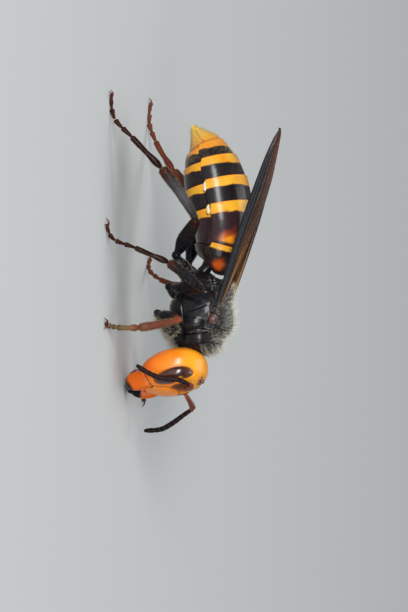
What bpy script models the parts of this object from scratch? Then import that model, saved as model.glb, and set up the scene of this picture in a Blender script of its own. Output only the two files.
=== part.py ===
"""Asian giant hornet, a life-size still model of a worker that stands on the floor with its wings folded.

Sizes are in millimetres in the body's own frame: +X towards the head, +Y to the left, +Z up, floor at z = 0.
The pieces are moved by FRAME_SHIFT and written in metres, so that the origin lies on the floor under the
middle of the whole animal.
"""

import math

import bmesh
import bpy
import numpy as np
from mathutils import Matrix, Vector

MM = 0.001
FRAME_SHIFT = Vector((6.1, -0.1, 0.0))
GAP = 0.3  # clearance between two nodes that meet
SIDES = {"right": -1.0, "left": 1.0}

# Head, an upright egg whose level sections are widest at the side: the axis runs from chin to crown
HEAD_LOW, HEAD_HIGH = 2.6, 11.7
HEAD_AXIS_X = (10.5, 9.5)  # where the axis stands at the chin and at the crown
HEAD_CORNER = 2.35  # exponent of the level sections, 2 is an ellipse
HEAD_CLOSING = 0.72  # how fast the sections shrink towards chin and crown
HEAD_SIZES = [  # height from 0 chin to 1 crown, half width, reach forward, reach back
    (0.0, 4.9, 3.5, 1.9),
    (0.3, 5.05, 3.4, 2.5),
    (0.5, 5.03, 3.25, 3.1),
    (0.68, 4.95, 3.1, 3.4),
    (1.0, 4.6, 2.6, 2.4),
]
HEAD_YAW = math.radians(-9.0)  # the face is turned a little to the right
HEAD_PIVOT = Vector((7.0, 0.0, 9.0))

# Compound eye: a kidney laid on the head, its middle line as (height, angle from the face), half width
EYE_LINE = [
    (0.0, 5.15, 59.0, 0.5),
    (0.22, 6.3, 63.0, 0.9),
    (0.45, 7.5, 66.5, 1.08),
    (0.68, 8.7, 71.0, 0.9),
    (0.88, 9.75, 68.5, 0.8),
    (1.0, 10.4, 65.0, 0.55),
]
EYE_SUNK, EYE_DEPTH = 0.3, 0.75

# Abdomen: distance along its middle line, then middle x, middle z, half height, half width
GASTER = [
    (0.0, -4.5, 11.9, 1.1, 1.2),
    (0.35, -4.65, 12.1, 1.95, 2.3),
    (1.1, -5.35, 12.5, 2.75, 3.3),
    (2.9, -7.55, 13.15, 3.6, 4.3),
    (5.7, -10.4, 13.55, 4.1, 5.0),
    (8.6, -13.2, 13.1, 4.55, 5.3),
    (12.1, -16.6, 12.3, 4.45, 5.2),
    (15.2, -19.6, 11.5, 3.65, 4.45),
    (17.4, -21.6, 10.85, 2.55, 3.1),
    (19.6, -23.5, 9.65, 1.0, 1.2),
    (20.8, -24.5, 8.95, 0.2, 0.25),
]
GASTER_JOINTS = [0.0, 2.9, 8.35, 11.85, 15.0, 17.35, 20.8]  # where one segment's plates end and the next begin
PLATE_FLARE = 0.035  # each ring of plates is this much wider at its rear rim than at its front

# Legs: hip, end of the coxa, knee, ankle, end of the first foot joint, claws
LEG_JOINTS = {
    "front_right": [(4.6, -2.0, 7.3), (2.1, -3.2, 5.0), (3.4, -7.0, 8.9),
                    (4.7, -9.8, 3.8), (4.8, -11.5, 1.3), (4.6, -14.7, 0.17)],
    "front_left": [(4.6, 2.0, 7.3), (4.0, 3.3, 5.0), (6.2, 7.2, 8.4),
                   (9.3, 9.6, 3.7), (10.6, 10.7, 1.3), (13.2, 12.4, 0.17)],
    "middle_right": [(-0.5, -2.6, 8.2), (-1.5, -4.0, 6.7), (-0.7, -8.0, 12.2),
                     (-4.2, -11.0, 8.0), (-6.0, -12.8, 3.7), (-8.7, -15.3, 0.17)],
    "middle_left": [(-0.5, 2.6, 8.2), (-1.2, 4.0, 6.7), (-0.5, 8.2, 11.6),
                    (-2.9, 11.2, 6.3), (-4.2, 12.9, 2.2), (-7.2, 15.4, 0.17)],
    "hind_right": [(-3.2, -2.2, 9.0), (-5.7, -4.2, 7.7), (-10.4, -7.8, 11.2),
                   (-17.2, -11.0, 6.8), (-21.3, -12.6, 2.9), (-26.6, -14.2, 0.17)],
    "hind_left": [(-3.2, 2.2, 9.0), (-5.1, 4.0, 7.9), (-12.3, 7.5, 9.4),
                  (-19.6, 10.6, 4.4), (-23.8, 12.2, 1.6), (-29.6, 14.0, 0.17)],
}
# Thickest half width of coxa, femur, tibia and foot
LEG_SIZES = {"front": (1.0, 0.9, 0.6, 0.36), "middle": (1.05, 0.9, 0.64, 0.36), "hind": (1.1, 1.02, 0.7, 0.4)}

# Antennae: root on the face, end of the scape, then the whip
ANTENNA_LINES = {
    "right": [(12.8, -2.1, 8.5), (12.3, -4.4, 10.3), (11.6, -6.0, 8.8), (11.3, -6.6, 6.1),
              (10.5, -6.7, 4.3), (9.6, -6.7, 2.9)],
    "left": [(13.2, 0.2, 8.5), (15.0, 3.1, 9.2), (15.9, 3.5, 7.8), (17.0, 3.9, 6.2),
             (17.8, 4.3, 4.7), (18.1, 4.8, 1.9)],
}
SCAPE_HALF, WHIP_HALF = 0.36, 0.34

# Wings, folded lengthwise: each is a narrow blade from its hinge to its tip
FOREWING_ROOT = (1.7, 3.9, 13.2)
FOREWING_TIPS = {"right": (-23.4, 7.5, 22.0), "left": (-23.3, 8.2, 19.5)}
FOREWING_CHORD = [(0.0, 0.9), (0.15, 1.6), (0.4, 2.6), (0.65, 3.2), (0.85, 2.5), (0.95, 1.4), (1.0, 0.5)]
TIP_SWEEP = [(0.0, 0.0), (0.7, 0.0), (0.85, 0.25), (0.95, 0.75), (1.0, 1.1)]  # the front edge curls in at the tip
HINDWING_CHORD = [(0.0, 0.5), (0.25, 0.9), (0.5, 1.4), (0.75, 1.8), (0.93, 1.2), (1.0, 0.5)]
HINDWING_SHARE = 0.7  # its length as a share of the forewing's
HINDWING_UNDER = 0.82  # how far it lies under the forewing, square to the blade
HINDWING_INSIDE = {"right": 0.7, "left": 0.1}  # and how far its front edge lies inside the forewing's
BLADE_TILT = [(0.0, 36.0), (0.35, 36.0), (0.9, 24.0), (1.0, 22.0)]  # degrees that the fold side is raised
WING_THICK, VEIN_HIGH = 0.5, 0.12
BLADE_BOW, BLADE_CAMBER = 0.25, 0.06
# Main veins along the blade: place across it at each station, 0 leading edge and 1 fold, and their reach
VEINS = {
    "radial_sector": ([(0.0, 0.3), (0.42, 0.3), (0.65, 0.34), (0.9, 0.26), (1.0, 0.2)], (0.3, 0.92)),
    "media": ([(0.0, 0.55), (0.3, 0.56), (0.62, 0.68), (1.0, 0.62)], (0.0, 0.86)),
}

PAINTS = {  # base colour, roughness
    "black": ((0.012, 0.012, 0.014), 0.3),
    "orange": ((0.86, 0.3, 0.03), 0.25),
    "eye": ((0.05, 0.015, 0.006), 0.12),
    "jaw": ((0.75, 0.17, 0.02), 0.3),
    "feeler": ((0.03, 0.02, 0.018), 0.45),
    "scape": ((0.4, 0.08, 0.02), 0.3),
    "banded": ((0.8, 0.36, 0.04), 0.25),
    "leg": ((0.03, 0.018, 0.014), 0.35),
    "wing": ((0.16, 0.06, 0.015), 0.3),
    "tegula": ((0.25, 0.09, 0.04), 0.35),
}


def clear_scene():
    for old in list(bpy.data.objects):
        bpy.data.objects.remove(old, do_unlink=True)


def paint(name):
    """The named material, made once."""
    known = bpy.data.materials.get(name)
    if known:
        return known
    colour, roughness = PAINTS[name]
    made = bpy.data.materials.new(name)
    made.use_nodes = True
    shader = made.node_tree.nodes["Principled BSDF"]
    shader.inputs["Base Color"].default_value = (*colour, 1.0)
    shader.inputs["Roughness"].default_value = roughness
    shader.inputs["Metallic"].default_value = 0.0
    return made


def smooth(table, at):
    """The values at one place on a smooth curve through the rows (place, value, ...) of a short table."""
    rows = np.array(table, float)
    places, values = rows[:, 0], rows[:, 1:]
    slopes = np.gradient(values, places, axis=0)
    i = int(np.clip(np.searchsorted(places, at) - 1, 0, len(places) - 2))
    span = places[i + 1] - places[i]
    s = min(max((at - places[i]) / span, 0.0), 1.0)
    ease = s * s * (3 - 2 * s)
    lean_in, lean_out = s * (1 - s) ** 2 * span, s * s * (s - 1) * span
    return values[i] * (1 - ease) + values[i + 1] * ease + slopes[i] * lean_in + slopes[i + 1] * lean_out


def face_outwards(form):
    bmesh.ops.recalc_face_normals(form, faces=form.faces)
    if form.calc_volume(signed=True) < 0:
        bmesh.ops.reverse_faces(form, faces=form.faces)


def to_object(name, form, colour):
    """A mesh object from a bmesh in body millimetres, shaded smooth but for its sharp edges."""
    face_outwards(form)
    mesh = bpy.data.meshes.new(name)
    form.to_mesh(mesh)
    form.free()
    mesh.transform(Matrix.Scale(MM, 4) @ Matrix.Translation(FRAME_SHIFT))
    mesh.materials.append(paint(colour))
    mesh.shade_smooth()
    made = bpy.data.objects.new(name, mesh)
    hornet.objects.link(made)
    shells[made] = [grown(mesh)]
    return made


def ball(name, place, colour, around=24, rows=14):
    """A sphere whose points are sent where place(direction) says."""
    form = bmesh.new()
    bmesh.ops.create_uvsphere(form, u_segments=around, v_segments=rows, radius=1.0)
    for vert in form.verts:
        vert.co = Vector(place(vert.co.normalized()))
    return to_object(name, form, colour)


def egg(centre, front, back, side, top, bottom, corner=0.9):
    """Places a sphere's directions on an egg with its own reach each way; a corner under 1 makes it boxier."""
    def place(direction):
        x, y, z = (math.copysign(abs(c) ** corner, c) for c in direction)
        return (
            centre[0] + x * (front if x > 0 else back),
            centre[1] + y * side,
            centre[2] + z * (top if z > 0 else bottom),
        )
    return place


def loft(name, rings, colour, mirrored=False):
    """A closed skin over rings with the same number of points, each end closed by a fan. mirrored: the second
    half of each ring runs back under the first, and both halves are split into like triangles."""
    form = bmesh.new()
    rows = [[form.verts.new(point) for point in ring] for ring in rings]
    count = len(rows[0])
    for one, two in zip(rows, rows[1:]):
        for i in range(count):
            j = (i + 1) % count
            if not mirrored:
                form.faces.new((one[i], one[j], two[j], two[i]))
            elif i < count // 2:
                form.faces.new((one[i], one[j], two[j]))
                form.faces.new((one[i], two[j], two[i]))
            else:
                form.faces.new((one[i], one[j], two[i]))
                form.faces.new((one[j], two[j], two[i]))
    for row in (rows[0], rows[-1]):
        if mirrored:
            for i in range(count // 2 - 1):
                form.faces.new((row[i], row[i + 1], row[count - 2 - i], row[count - 1 - i]))
            continue
        hub = form.verts.new(sum((v.co for v in row), Vector()) / count)
        for i in range(count):
            form.faces.new((row[i], row[(i + 1) % count], hub))
    return to_object(name, form, colour)


def path_through(points, steps):
    """Evenly many points on a smooth line through the given ones, with the line's direction at each."""
    spots = [Vector(p) for p in points]
    runs = [0.0]
    for one, two in zip(spots, spots[1:]):
        runs.append(runs[-1] + (two - one).length)
    table = [(run, *spot) for run, spot in zip(runs, spots)]
    step = runs[-1] / steps
    line = [Vector(smooth(table, i * step)) for i in range(steps + 1)]
    ahead = []
    for i in range(steps + 1):
        ahead.append((line[min(i + 1, steps)] - line[max(i - 1, 0)]).normalized())
    return line, ahead


def limb(name, points, sizes, colour, steps=8, around=10, side=(0.0, 0.0, 1.0), squeeze=1.0):
    """A tapering rod along a smooth line. sizes: share of the length, half width. squeeze: its half depth as a
    share of that, measured across the side direction."""
    line, ahead = path_through(points, steps)
    rings = []
    for i, (spot, along) in enumerate(zip(line, ahead)):
        half = float(smooth(sizes, i / steps)[0])
        across = along.cross(Vector(side)).normalized()
        upward = across.cross(along).normalized()
        ring = []
        for k in range(around):
            turn = 2 * math.pi * k / around
            ring.append(spot + upward * (half * math.cos(turn)) + across * (half * squeeze * math.sin(turn)))
        rings.append(ring)
    return loft(name, rings, colour)


def evaluated_mesh(thing):
    bpy.context.view_layer.update()
    graph = bpy.context.evaluated_depsgraph_get()
    return bpy.data.meshes.new_from_object(thing.evaluated_get(graph))


def apply_modifiers(thing):
    mesh = evaluated_mesh(thing)
    thing.modifiers.clear()
    thing.data = mesh


def boolean(thing, others, operation):
    """Joins the others to the thing, or cuts it by them, and removes them."""
    tools = bpy.data.collections.new("tools")
    bpy.context.scene.collection.children.link(tools)
    for other in others:
        for owner in list(other.users_collection):
            owner.objects.unlink(other)
        tools.objects.link(other)
    before = thing.data.copy()
    for solver in ("EXACT", "MANIFOLD"):
        thing.data = before.copy()
        modifier = thing.modifiers.new(operation, "BOOLEAN")
        modifier.operand_type = "COLLECTION"
        modifier.collection = tools
        modifier.operation = operation
        modifier.solver = solver
        apply_modifiers(thing)
        if is_closed(thing.data):
            break
    for other in others:
        if operation == "UNION":
            shells[thing] += shells.pop(other)
        bpy.data.objects.remove(other, do_unlink=True)
    bpy.data.collections.remove(tools)
    keep_largest(thing)


def is_closed(mesh):
    """Whether every edge of a mesh joins exactly two faces."""
    form = bmesh.new()
    form.from_mesh(mesh)
    closed = all(edge.is_manifold for edge in form.edges)
    form.free()
    return closed


def keep_largest(thing):
    """Drops every closed surface of the thing but its largest."""
    form = bmesh.new()
    form.from_mesh(thing.data)
    left = set(form.verts)
    islands = []
    while left:
        seed = left.pop()
        island, edge = {seed}, [seed]
        while edge:
            for link in edge.pop().link_edges:
                for vert in link.verts:
                    if vert in left:
                        left.remove(vert)
                        island.add(vert)
                        edge.append(vert)
        islands.append(island)
    islands.sort(key=box_size, reverse=True)
    loose = [vert for island in islands[1:] for vert in island]
    bmesh.ops.delete(form, geom=loose, context="VERTS")
    face_outwards(form)
    form.to_mesh(thing.data)
    form.free()


def box_size(verts):
    spots = np.array([vert.co for vert in verts])
    return float(np.linalg.norm(spots.max(0) - spots.min(0)))


def grown(mesh):
    """A copy of a mesh, swollen by the gap, to cut a neighbour with."""
    form = bmesh.new()
    form.from_mesh(mesh)
    form.normal_update()
    for vert, normal in [(v, v.normal.copy()) for v in form.verts]:
        vert.co += normal * (GAP * MM)
    swollen = bpy.data.meshes.new(mesh.name + "_grown")
    form.to_mesh(swollen)
    form.free()
    return swollen


def cut_clear(thing, *neighbours):
    """Cuts the thing so that it meets each neighbour face to face, a gap apart."""
    for neighbour in neighbours:
        cutters = []
        for mesh in shells[neighbour]:
            cutter = bpy.data.objects.new("cutter", mesh)
            hornet.objects.link(cutter)
            cutters.append(cutter)
        boolean(thing, cutters, "DIFFERENCE")


def cut_at_floor(thing):
    """Cuts away what lies under the floor, which leaves a small flat to stand on."""
    form = bmesh.new()
    form.from_mesh(thing.data)
    everything = [*form.verts, *form.edges, *form.faces]
    cut = bmesh.ops.bisect_plane(
        form, geom=everything, dist=1e-7, plane_co=(0, 0, 0), plane_no=(0, 0, 1), clear_inner=True
    )
    rim = [piece for piece in cut["geom_cut"] if isinstance(piece, bmesh.types.BMEdge)]
    bmesh.ops.edgenet_fill(form, edges=rim)
    bmesh.ops.recalc_face_normals(form, faces=form.faces)
    form.to_mesh(thing.data)
    form.free()


def turned_with_head(point):
    """Where a point of the straight head goes when the face is turned."""
    return HEAD_PIVOT + Matrix.Rotation(HEAD_YAW, 3, "Z") @ (Vector(point) - HEAD_PIVOT)


def head_point(height, angle):
    """A point of the head's skin at a height, at an angle in degrees from the face round to the back."""
    middle, half = (HEAD_LOW + HEAD_HIGH) / 2, (HEAD_HIGH - HEAD_LOW) / 2
    level = min(max((height - middle) / half, -1.0), 1.0)
    share = math.acos(-level) / math.pi
    closing = math.sin(math.pi * share) ** HEAD_CLOSING if 0 < share < 1 else 0.0
    width, front, back = (float(v) * closing + 1e-6 for v in smooth(HEAD_SIZES, share))
    turn = math.radians(angle)
    c, s = math.cos(turn), math.sin(turn)
    depth = front if c > 0 else back
    reach = ((abs(c) / depth) ** HEAD_CORNER + (abs(s) / width) ** HEAD_CORNER) ** (-1 / HEAD_CORNER)
    axis = HEAD_AXIS_X[0] + (HEAD_AXIS_X[1] - HEAD_AXIS_X[0]) * (level + 1) / 2
    return Vector((axis + reach * c, reach * s, height))


def head_place(direction):
    middle, half = (HEAD_LOW + HEAD_HIGH) / 2, (HEAD_HIGH - HEAD_LOW) / 2
    angle = math.degrees(math.atan2(direction.y, direction.x))
    return turned_with_head(head_point(middle + half * direction.z, angle))


def make_eye(side, sign):
    """A kidney-shaped rod along the eye's middle line, half sunk in the head."""
    rings = []
    steps, around = 14, 12
    spots, outs = [], []
    for i in range(steps + 1):
        height, angle, half = smooth(EYE_LINE, i / steps)
        spot = head_point(height, sign * angle)
        level = head_point(height, sign * (angle + 4)) - head_point(height, sign * (angle - 4))
        rise = head_point(height + 0.2, sign * angle) - head_point(height - 0.2, sign * angle)
        out = (level.cross(rise) * sign).normalized()
        spots.append((spot - out * EYE_SUNK, half))
        outs.append(out)
    for i in range(steps + 1):
        ahead = (spots[min(i + 1, steps)][0] - spots[max(i - 1, 0)][0]).normalized()
        across = ahead.cross(outs[i]).normalized()
        spot, half = spots[i]
        ends = math.sqrt(max(1 - (2 * i / steps - 1) ** 8, 0.08))
        ring = []
        for k in range(around):
            turn = 2 * math.pi * k / around
            point = spot + across * (half * ends * math.cos(turn)) + outs[i] * (EYE_DEPTH * ends * math.sin(turn))
            ring.append(turned_with_head(point))
        rings.append(ring)
    return loft("eye_" + side, rings, "eye")


def make_head():
    head = ball("head", head_place, "orange", around=28, rows=18)
    clypeus = ball(
        "clypeus", lambda d: turned_with_head(egg((12.1, 0, 5.3), 1.45, 1.2, 2.3, 2.0, 2.1, 0.85)(d)), "orange", 16, 10
    )
    pieces = [clypeus]
    for x, y, z in ((11.7, 0.0, 10.75), (11.35, 0.75, 11.0), (11.35, -0.75, 11.0)):
        ocellus = egg((x, y, z), 0.3, 0.3, 0.3, 0.3, 0.3, 1.0)
        pieces.append(ball("ocellus", lambda d, o=ocellus: turned_with_head(o(d)), "orange", 8, 6))
    boolean(head, pieces, "UNION")
    eyes = {side: make_eye(side, sign) for side, sign in SIDES.items()}
    cut_clear(head, *eyes.values())
    return head


def make_mandibles(head):
    for side, sign in SIDES.items():
        line = [(11.45, 2.55, 4.9), (11.95, 2.75, 3.4), (12.15, 2.35, 1.7), (12.4, 0.85, 0.62)]
        points = [turned_with_head((x, sign * y, z)) for x, y, z in line]
        sizes = [(0.0, 1.15), (0.35, 1.3), (0.7, 1.1), (1.0, 0.42)]
        jaw = limb("mandible_" + side, points, sizes, "jaw", 9, 12, side=(1.0, 0.0, 0.0), squeeze=0.55)
        teeth = []
        for x, y, z, size in ((12.75, 0.95, 0.72, 0.3), (12.3, 1.0, 0.6, 0.34), (11.85, 1.3, 0.68, 0.3)):
            root = turned_with_head((x, sign * (y + 0.35), z + 0.25))
            tip = turned_with_head((x + 0.1, sign * (y - 0.6), z - 0.22))
            teeth.append(limb("tooth", [root, tip], [(0.0, size), (1.0, 0.09)], "jaw", 2, 6, side=(1.0, 0.0, 0.0)))
        boolean(jaw, teeth, "UNION")
        cut_clear(jaw, head)


def make_antennae(head):
    scape_sizes = [(0.0, 0.8), (0.3, 0.85), (0.8, 1.1), (1.0, 0.95)]
    whip_sizes = [(0.0, 0.78), (0.25, 1.0), (0.8, 1.0), (0.95, 0.85), (1.0, 0.5)]
    for side, points in ANTENNA_LINES.items():
        root, elbow, first = (Vector(p) for p in points[:3])
        inward = root - (elbow - root).normalized() * 1.2
        sizes = [(t, r * SCAPE_HALF) for t, r in scape_sizes]
        scape = limb(f"antenna_{side}_scape", [inward, root, elbow], sizes, "scape", 6, 8)
        start = elbow + (first - elbow).normalized() * 0.1
        sizes = [(t, r * WHIP_HALF) for t, r in whip_sizes]
        whip = limb(f"antenna_{side}_flagellum", [start, *points[2:]], sizes, "feeler", 20, 8)
        cut_clear(scape, head)
        cut_clear(whip, scape)


def make_thorax(head):
    """Middle part with back shield and little shield, front collar, and rear part, parted by thin cuts."""
    middle = ball("mesothorax", egg((1.6, 0, 10.7), 3.3, 3.2, 4.25, 4.3, 4.4, 0.84), "black", 22, 14)
    shield = ball("shield", egg((2.6, 0, 12.2), 3.1, 3.0, 3.9, 3.3, 3.0, 0.82), "black", 20, 12)
    little = ball("little", egg((-1.0, 0, 13.4), 1.6, 1.5, 2.4, 1.75, 2.2, 0.86), "black", 14, 8)
    band = ball("band", egg((-2.3, 0, 12.6), 1.1, 0.9, 2.3, 1.5, 1.8, 0.9), "black", 14, 8)
    boolean(middle, [shield, little, band], "UNION")
    front = ball("prothorax", egg((5.1, 0, 11.0), 2.9, 2.2, 3.9, 3.35, 2.8, 0.86), "black", 22, 14)
    under = ball("under", egg((5.0, 0, 8.2), 2.0, 1.8, 2.5, 2.2, 1.9, 0.9), "black", 12, 8)
    boolean(front, [under], "UNION")
    cut_clear(front, head, middle)
    rear = ball("propodeum", egg((-1.4, 0, 9.8), 2.0, 2.9, 3.45, 3.6, 2.2, 0.98), "black", 20, 12)
    cut_clear(rear, middle)
    return front, middle, rear


def gaster_frame(run):
    """Middle, direction, half height and half width of the abdomen at a distance along it."""
    x, z, high, wide = smooth(GASTER, run)
    before, after = smooth(GASTER, max(run - 0.4, 0)), smooth(GASTER, min(run + 0.4, GASTER[-1][0]))
    ahead = Vector((after[0] - before[0], 0, after[1] - before[1])).normalized()
    return Vector((x, 0, z)), ahead, float(high), float(wide)


def make_abdomen():
    """Six telescoping rings of plates, each a little wider at its rear rim."""
    around, made = 28, []
    for number, (first, last) in enumerate(zip(GASTER_JOINTS, GASTER_JOINTS[1:]), 1):
        start = first + (GAP if number > 1 else 0.0)
        steps = 7 if number in (1, 6) else 5
        rings = []
        for i in range(steps + 1):
            share = i / steps
            run = start + (last - start) * (share ** 1.6 if number == 1 else share)
            spot, ahead, high, wide = gaster_frame(run)
            upward = Vector((ahead.z, 0, -ahead.x))
            flare = 1 + PLATE_FLARE * (share - 0.5) * (number < 6)
            ring = []
            for k in range(around):
                turn = 2 * math.pi * k / around
                rise = high * (1.06 if math.cos(turn) > 0 else 0.94)
                ring.append(spot + upward * (rise * flare * math.cos(turn) - 0.06 * high)
                            + Vector((0, wide * flare * math.sin(turn), 0)))
            rings.append(ring)
        made.append(loft(f"abdomen_{number}", rings, "banded"))
    return made


def make_petiole(rear, first_segment):
    points = [(-3.0, 0, 10.4), (-4.3, 0, 11.2), (-6.0, 0, 12.3)]
    petiole = limb("petiole", points, [(0.0, 1.1), (0.5, 0.85), (1.0, 1.0)], "black", 6, 12)
    cut_clear(petiole, rear, first_segment)


def make_leg(name, points, body):
    """Coxa, femur, tibia and foot. Each is rooted in the one before and cut clear of it."""
    kind = name.split("_")[0]
    coxa_half, femur_half, tibia_half, foot_half = LEG_SIZES[kind]
    hip, coxa_end, knee, ankle, first_joint, claws = (Vector(p) for p in points)
    coxa_sizes = [(0.0, 1.0), (0.45, 0.95), (0.8, 0.62), (1.0, 0.5)]
    coxa = limb("coxa_" + name, [hip, coxa_end], [(t, r * coxa_half) for t, r in coxa_sizes], "black", 4, 10)
    femur_sizes = [(0.0, 0.42), (0.12, 0.6), (0.35, 1.0), (0.75, 0.85), (0.95, 0.62), (1.0, 0.5)]
    start = coxa_end + (knee - coxa_end).normalized() * 0.2
    femur = limb("femur_" + name, [start, knee], [(t, r * femur_half) for t, r in femur_sizes], "leg", 6, 10,
                 squeeze=0.82)
    tibia_sizes = [(0.0, 0.62), (0.12, 0.72), (0.6, 1.0), (0.9, 1.02), (1.0, 0.8)]
    start = knee + (ankle - knee).normalized() * 0.1
    bow = (knee + ankle) / 2 + Vector((0, 0, 0.25))
    sizes = [(t, r * tibia_half) for t, r in tibia_sizes]
    tibia = limb("tibia_" + name, [start, bow, ankle], sizes, "leg", 6, 9, squeeze=0.85)
    spurs = []
    along = (ankle - knee).normalized()
    lean = along.cross(Vector((0, 0, 1))).normalized()
    for spread in ((0.35,) if kind == "front" else (0.5, -0.2)):
        root = ankle - along * 0.5
        tip = ankle + along * 1.3 + lean * spread - Vector((0, 0, 0.65))
        spurs.append(limb("spur", [root, tip], [(0.0, 0.26), (1.0, 0.07)], "leg", 2, 5))
    boolean(tibia, spurs, "UNION")
    foot = make_foot(name, ankle, first_joint, claws, foot_half)
    cut_clear(coxa, *body)
    cut_clear(femur, coxa)
    cut_clear(tibia, femur)
    cut_clear(foot, tibia)


def make_foot(name, ankle, first_joint, claws, half):
    """Long first joint and four short ones that flare at their ends, then two claws, flat where they stand."""
    along = (first_joint - ankle).normalized()
    start = ankle + along * 0.15
    settle = first_joint.lerp(claws, 0.5)
    settle.z = claws.z + (first_joint.z - claws.z) * 0.13
    path = [start, first_joint, settle, claws]
    first_share = 0.48
    sizes = [(0.0, 0.85), (0.1, 0.95), (first_share - 0.03, 1.0), (first_share, 0.7)]
    short = (1 - first_share) / 4
    for joint in range(4):
        begin = first_share + joint * short
        sizes += [(begin + short * 0.75, 0.95), (begin + short * 0.97, 0.72)]
    sizes = [(t, r * half) for t, r in sizes]
    foot = limb("foot_" + name, path, sizes, "leg", 16, 7)
    ahead = (claws - settle).normalized()
    ahead.z = 0
    lean = Vector((-ahead.y, ahead.x, 0))
    tips = []
    for sign in (1, -1):
        root = claws - ahead * 0.25 + lean * (0.09 * sign) + Vector((0, 0, 0.1))
        bend = claws + ahead * 0.5 + lean * (0.4 * sign) + Vector((0, 0, 0.2))
        tip = claws + ahead * 0.85 + lean * (0.75 * sign)
        tip.z = 0.12
        tips.append(limb("claw", [root, bend, tip], [(0.0, 0.17), (1.0, 0.07)], "leg", 2, 5))
    cut_at_floor(foot)
    boolean(foot, tips, "UNION")
    return foot


def blade_point(root, tip, sign, chord, share, across):
    """A point of a folded wing's middle surface. across: 0 at the leading edge, 1 at the fold."""
    span = tip - root
    along = span.normalized()
    inward = Vector((0, -sign, 0))
    upward = along.cross(inward).normalized()
    if upward.z < 0:
        upward = -upward
    tilt = math.radians(float(smooth(BLADE_TILT, share)[0]))
    chordwise = inward * math.cos(tilt) + upward * math.sin(tilt)
    normal = upward * math.cos(tilt) - inward * math.sin(tilt)
    width = float(smooth(chord, share)[0])
    bow = math.sin(math.pi * share) * BLADE_BOW
    camber = math.sin(math.pi * across) * BLADE_CAMBER * width
    sweep = float(smooth(TIP_SWEEP, share)[0]) - bow
    return root + span * share + chordwise * (across * width + sweep) + normal * camber


def vein_columns(share):
    """Places across the blade at one station, each with how high the vein stands there."""
    columns = [(0.0, 1.0), (0.1, 0.0)]
    for line, (begin, end) in VEINS.values():
        middle = float(smooth(line, share)[0])
        fade = min(max((share - begin) / 0.06, 0.0), 1.0) * min(max((end - share) / 0.06, 0.0), 1.0)
        columns += [(middle - 0.06, 0.0), (middle, fade), (middle + 0.06, 0.0)]
    return columns + [(0.93, 0.0), (1.0, 0.7)]


def make_wing(name, root, tip, sign, chord, rows):
    """A thin blade, lofted between sections whose main veins stand up from both faces, which are split into
    like triangles."""
    rings = []
    for i in range(rows + 1):
        share = i / rows
        top, under = [], []
        for across, raised in vein_columns(share):
            point = blade_point(root, tip, sign, chord, share, across)
            beyond = blade_point(root, tip, sign, chord, share, across + 0.02)
            behind = blade_point(root, tip, sign, chord, share, across - 0.02)
            normal = (tip - root).cross(beyond - behind).normalized()
            normal = normal if normal.z > 0 else -normal
            lift = WING_THICK / 2 + VEIN_HIGH * raised
            top.append(point + normal * lift)
            under.append(point - normal * lift)
        rings.append(top + under[::-1])
    return loft(name, rings, "wing", mirrored=True)


def make_wings(body):
    for side, sign in SIDES.items():
        hinge = Vector(FOREWING_ROOT)
        hinge.y *= sign
        tip = Vector(FOREWING_TIPS[side])
        tip.y *= sign
        fore = make_wing("forewing_" + side, hinge, tip, sign, FOREWING_CHORD, 16)
        tilt = math.radians(BLADE_TILT[0][1])
        reach = HINDWING_INSIDE[side]
        inward = Vector((0, -sign * math.cos(tilt), math.sin(tilt))) * reach
        under = Vector((0, -sign * math.sin(tilt), -math.cos(tilt))) * HINDWING_UNDER
        hind_root = hinge.lerp(tip, 0.04) + inward + under
        hind_tip = hinge.lerp(tip, HINDWING_SHARE) + inward + under
        hind = make_wing("hindwing_" + side, hind_root, hind_tip, sign, HINDWING_CHORD, 10)
        tegula = ball("tegula_" + side, egg((3.05, sign * 3.95, 13.15), 0.8, 0.95, 0.65, 0.7, 0.75, 0.9), "tegula", 12, 8)
        cut_clear(tegula, *body)
        cut_clear(fore, *body, tegula)
        cut_clear(hind, *body)


def main():
    clear_scene()
    head = make_head()
    make_mandibles(head)
    make_antennae(head)
    front, middle, rear = make_thorax(head)
    segments = make_abdomen()
    make_petiole(rear, segments[0])
    for name, points in LEG_JOINTS.items():
        make_leg(name, points, (front, middle, rear))
    make_wings((middle, front, rear))


shells = {}  # for each object, the swollen forms that its neighbours are cut by
hornet = bpy.data.collections.new("asian_giant_hornet")
bpy.context.scene.collection.children.link(hornet)
main()
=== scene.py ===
"""Looks of the asian giant hornet: fine skins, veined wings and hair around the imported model.

Sizes are in millimetres in the body's own frame, as in the part's source: +X towards the head, +Y to the
left, +Z up, floor at z = 0. add_piece moves them by FRAME_SHIFT and writes metres.
"""

import math

import bpy
import numpy as np
from mathutils import Matrix, Vector
from mathutils.kdtree import KDTree


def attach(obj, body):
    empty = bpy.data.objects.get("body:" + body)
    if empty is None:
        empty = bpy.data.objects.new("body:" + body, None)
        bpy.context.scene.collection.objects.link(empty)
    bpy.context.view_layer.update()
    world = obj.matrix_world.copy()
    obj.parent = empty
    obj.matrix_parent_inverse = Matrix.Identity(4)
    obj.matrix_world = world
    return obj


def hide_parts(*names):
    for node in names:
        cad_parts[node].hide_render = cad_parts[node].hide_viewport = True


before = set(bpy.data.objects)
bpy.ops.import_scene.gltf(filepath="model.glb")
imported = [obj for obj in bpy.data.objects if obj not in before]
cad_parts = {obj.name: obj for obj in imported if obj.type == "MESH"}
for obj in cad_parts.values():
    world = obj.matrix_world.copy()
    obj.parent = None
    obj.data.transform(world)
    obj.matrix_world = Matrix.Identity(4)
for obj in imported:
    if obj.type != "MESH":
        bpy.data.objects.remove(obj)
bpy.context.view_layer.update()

MM = 0.001
FRAME_SHIFT = np.array([6.1, -0.1, 0.0])
SIDES = {"right": -1.0, "left": 1.0}
NO_TRIS = np.zeros((0, 3), int)

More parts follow.
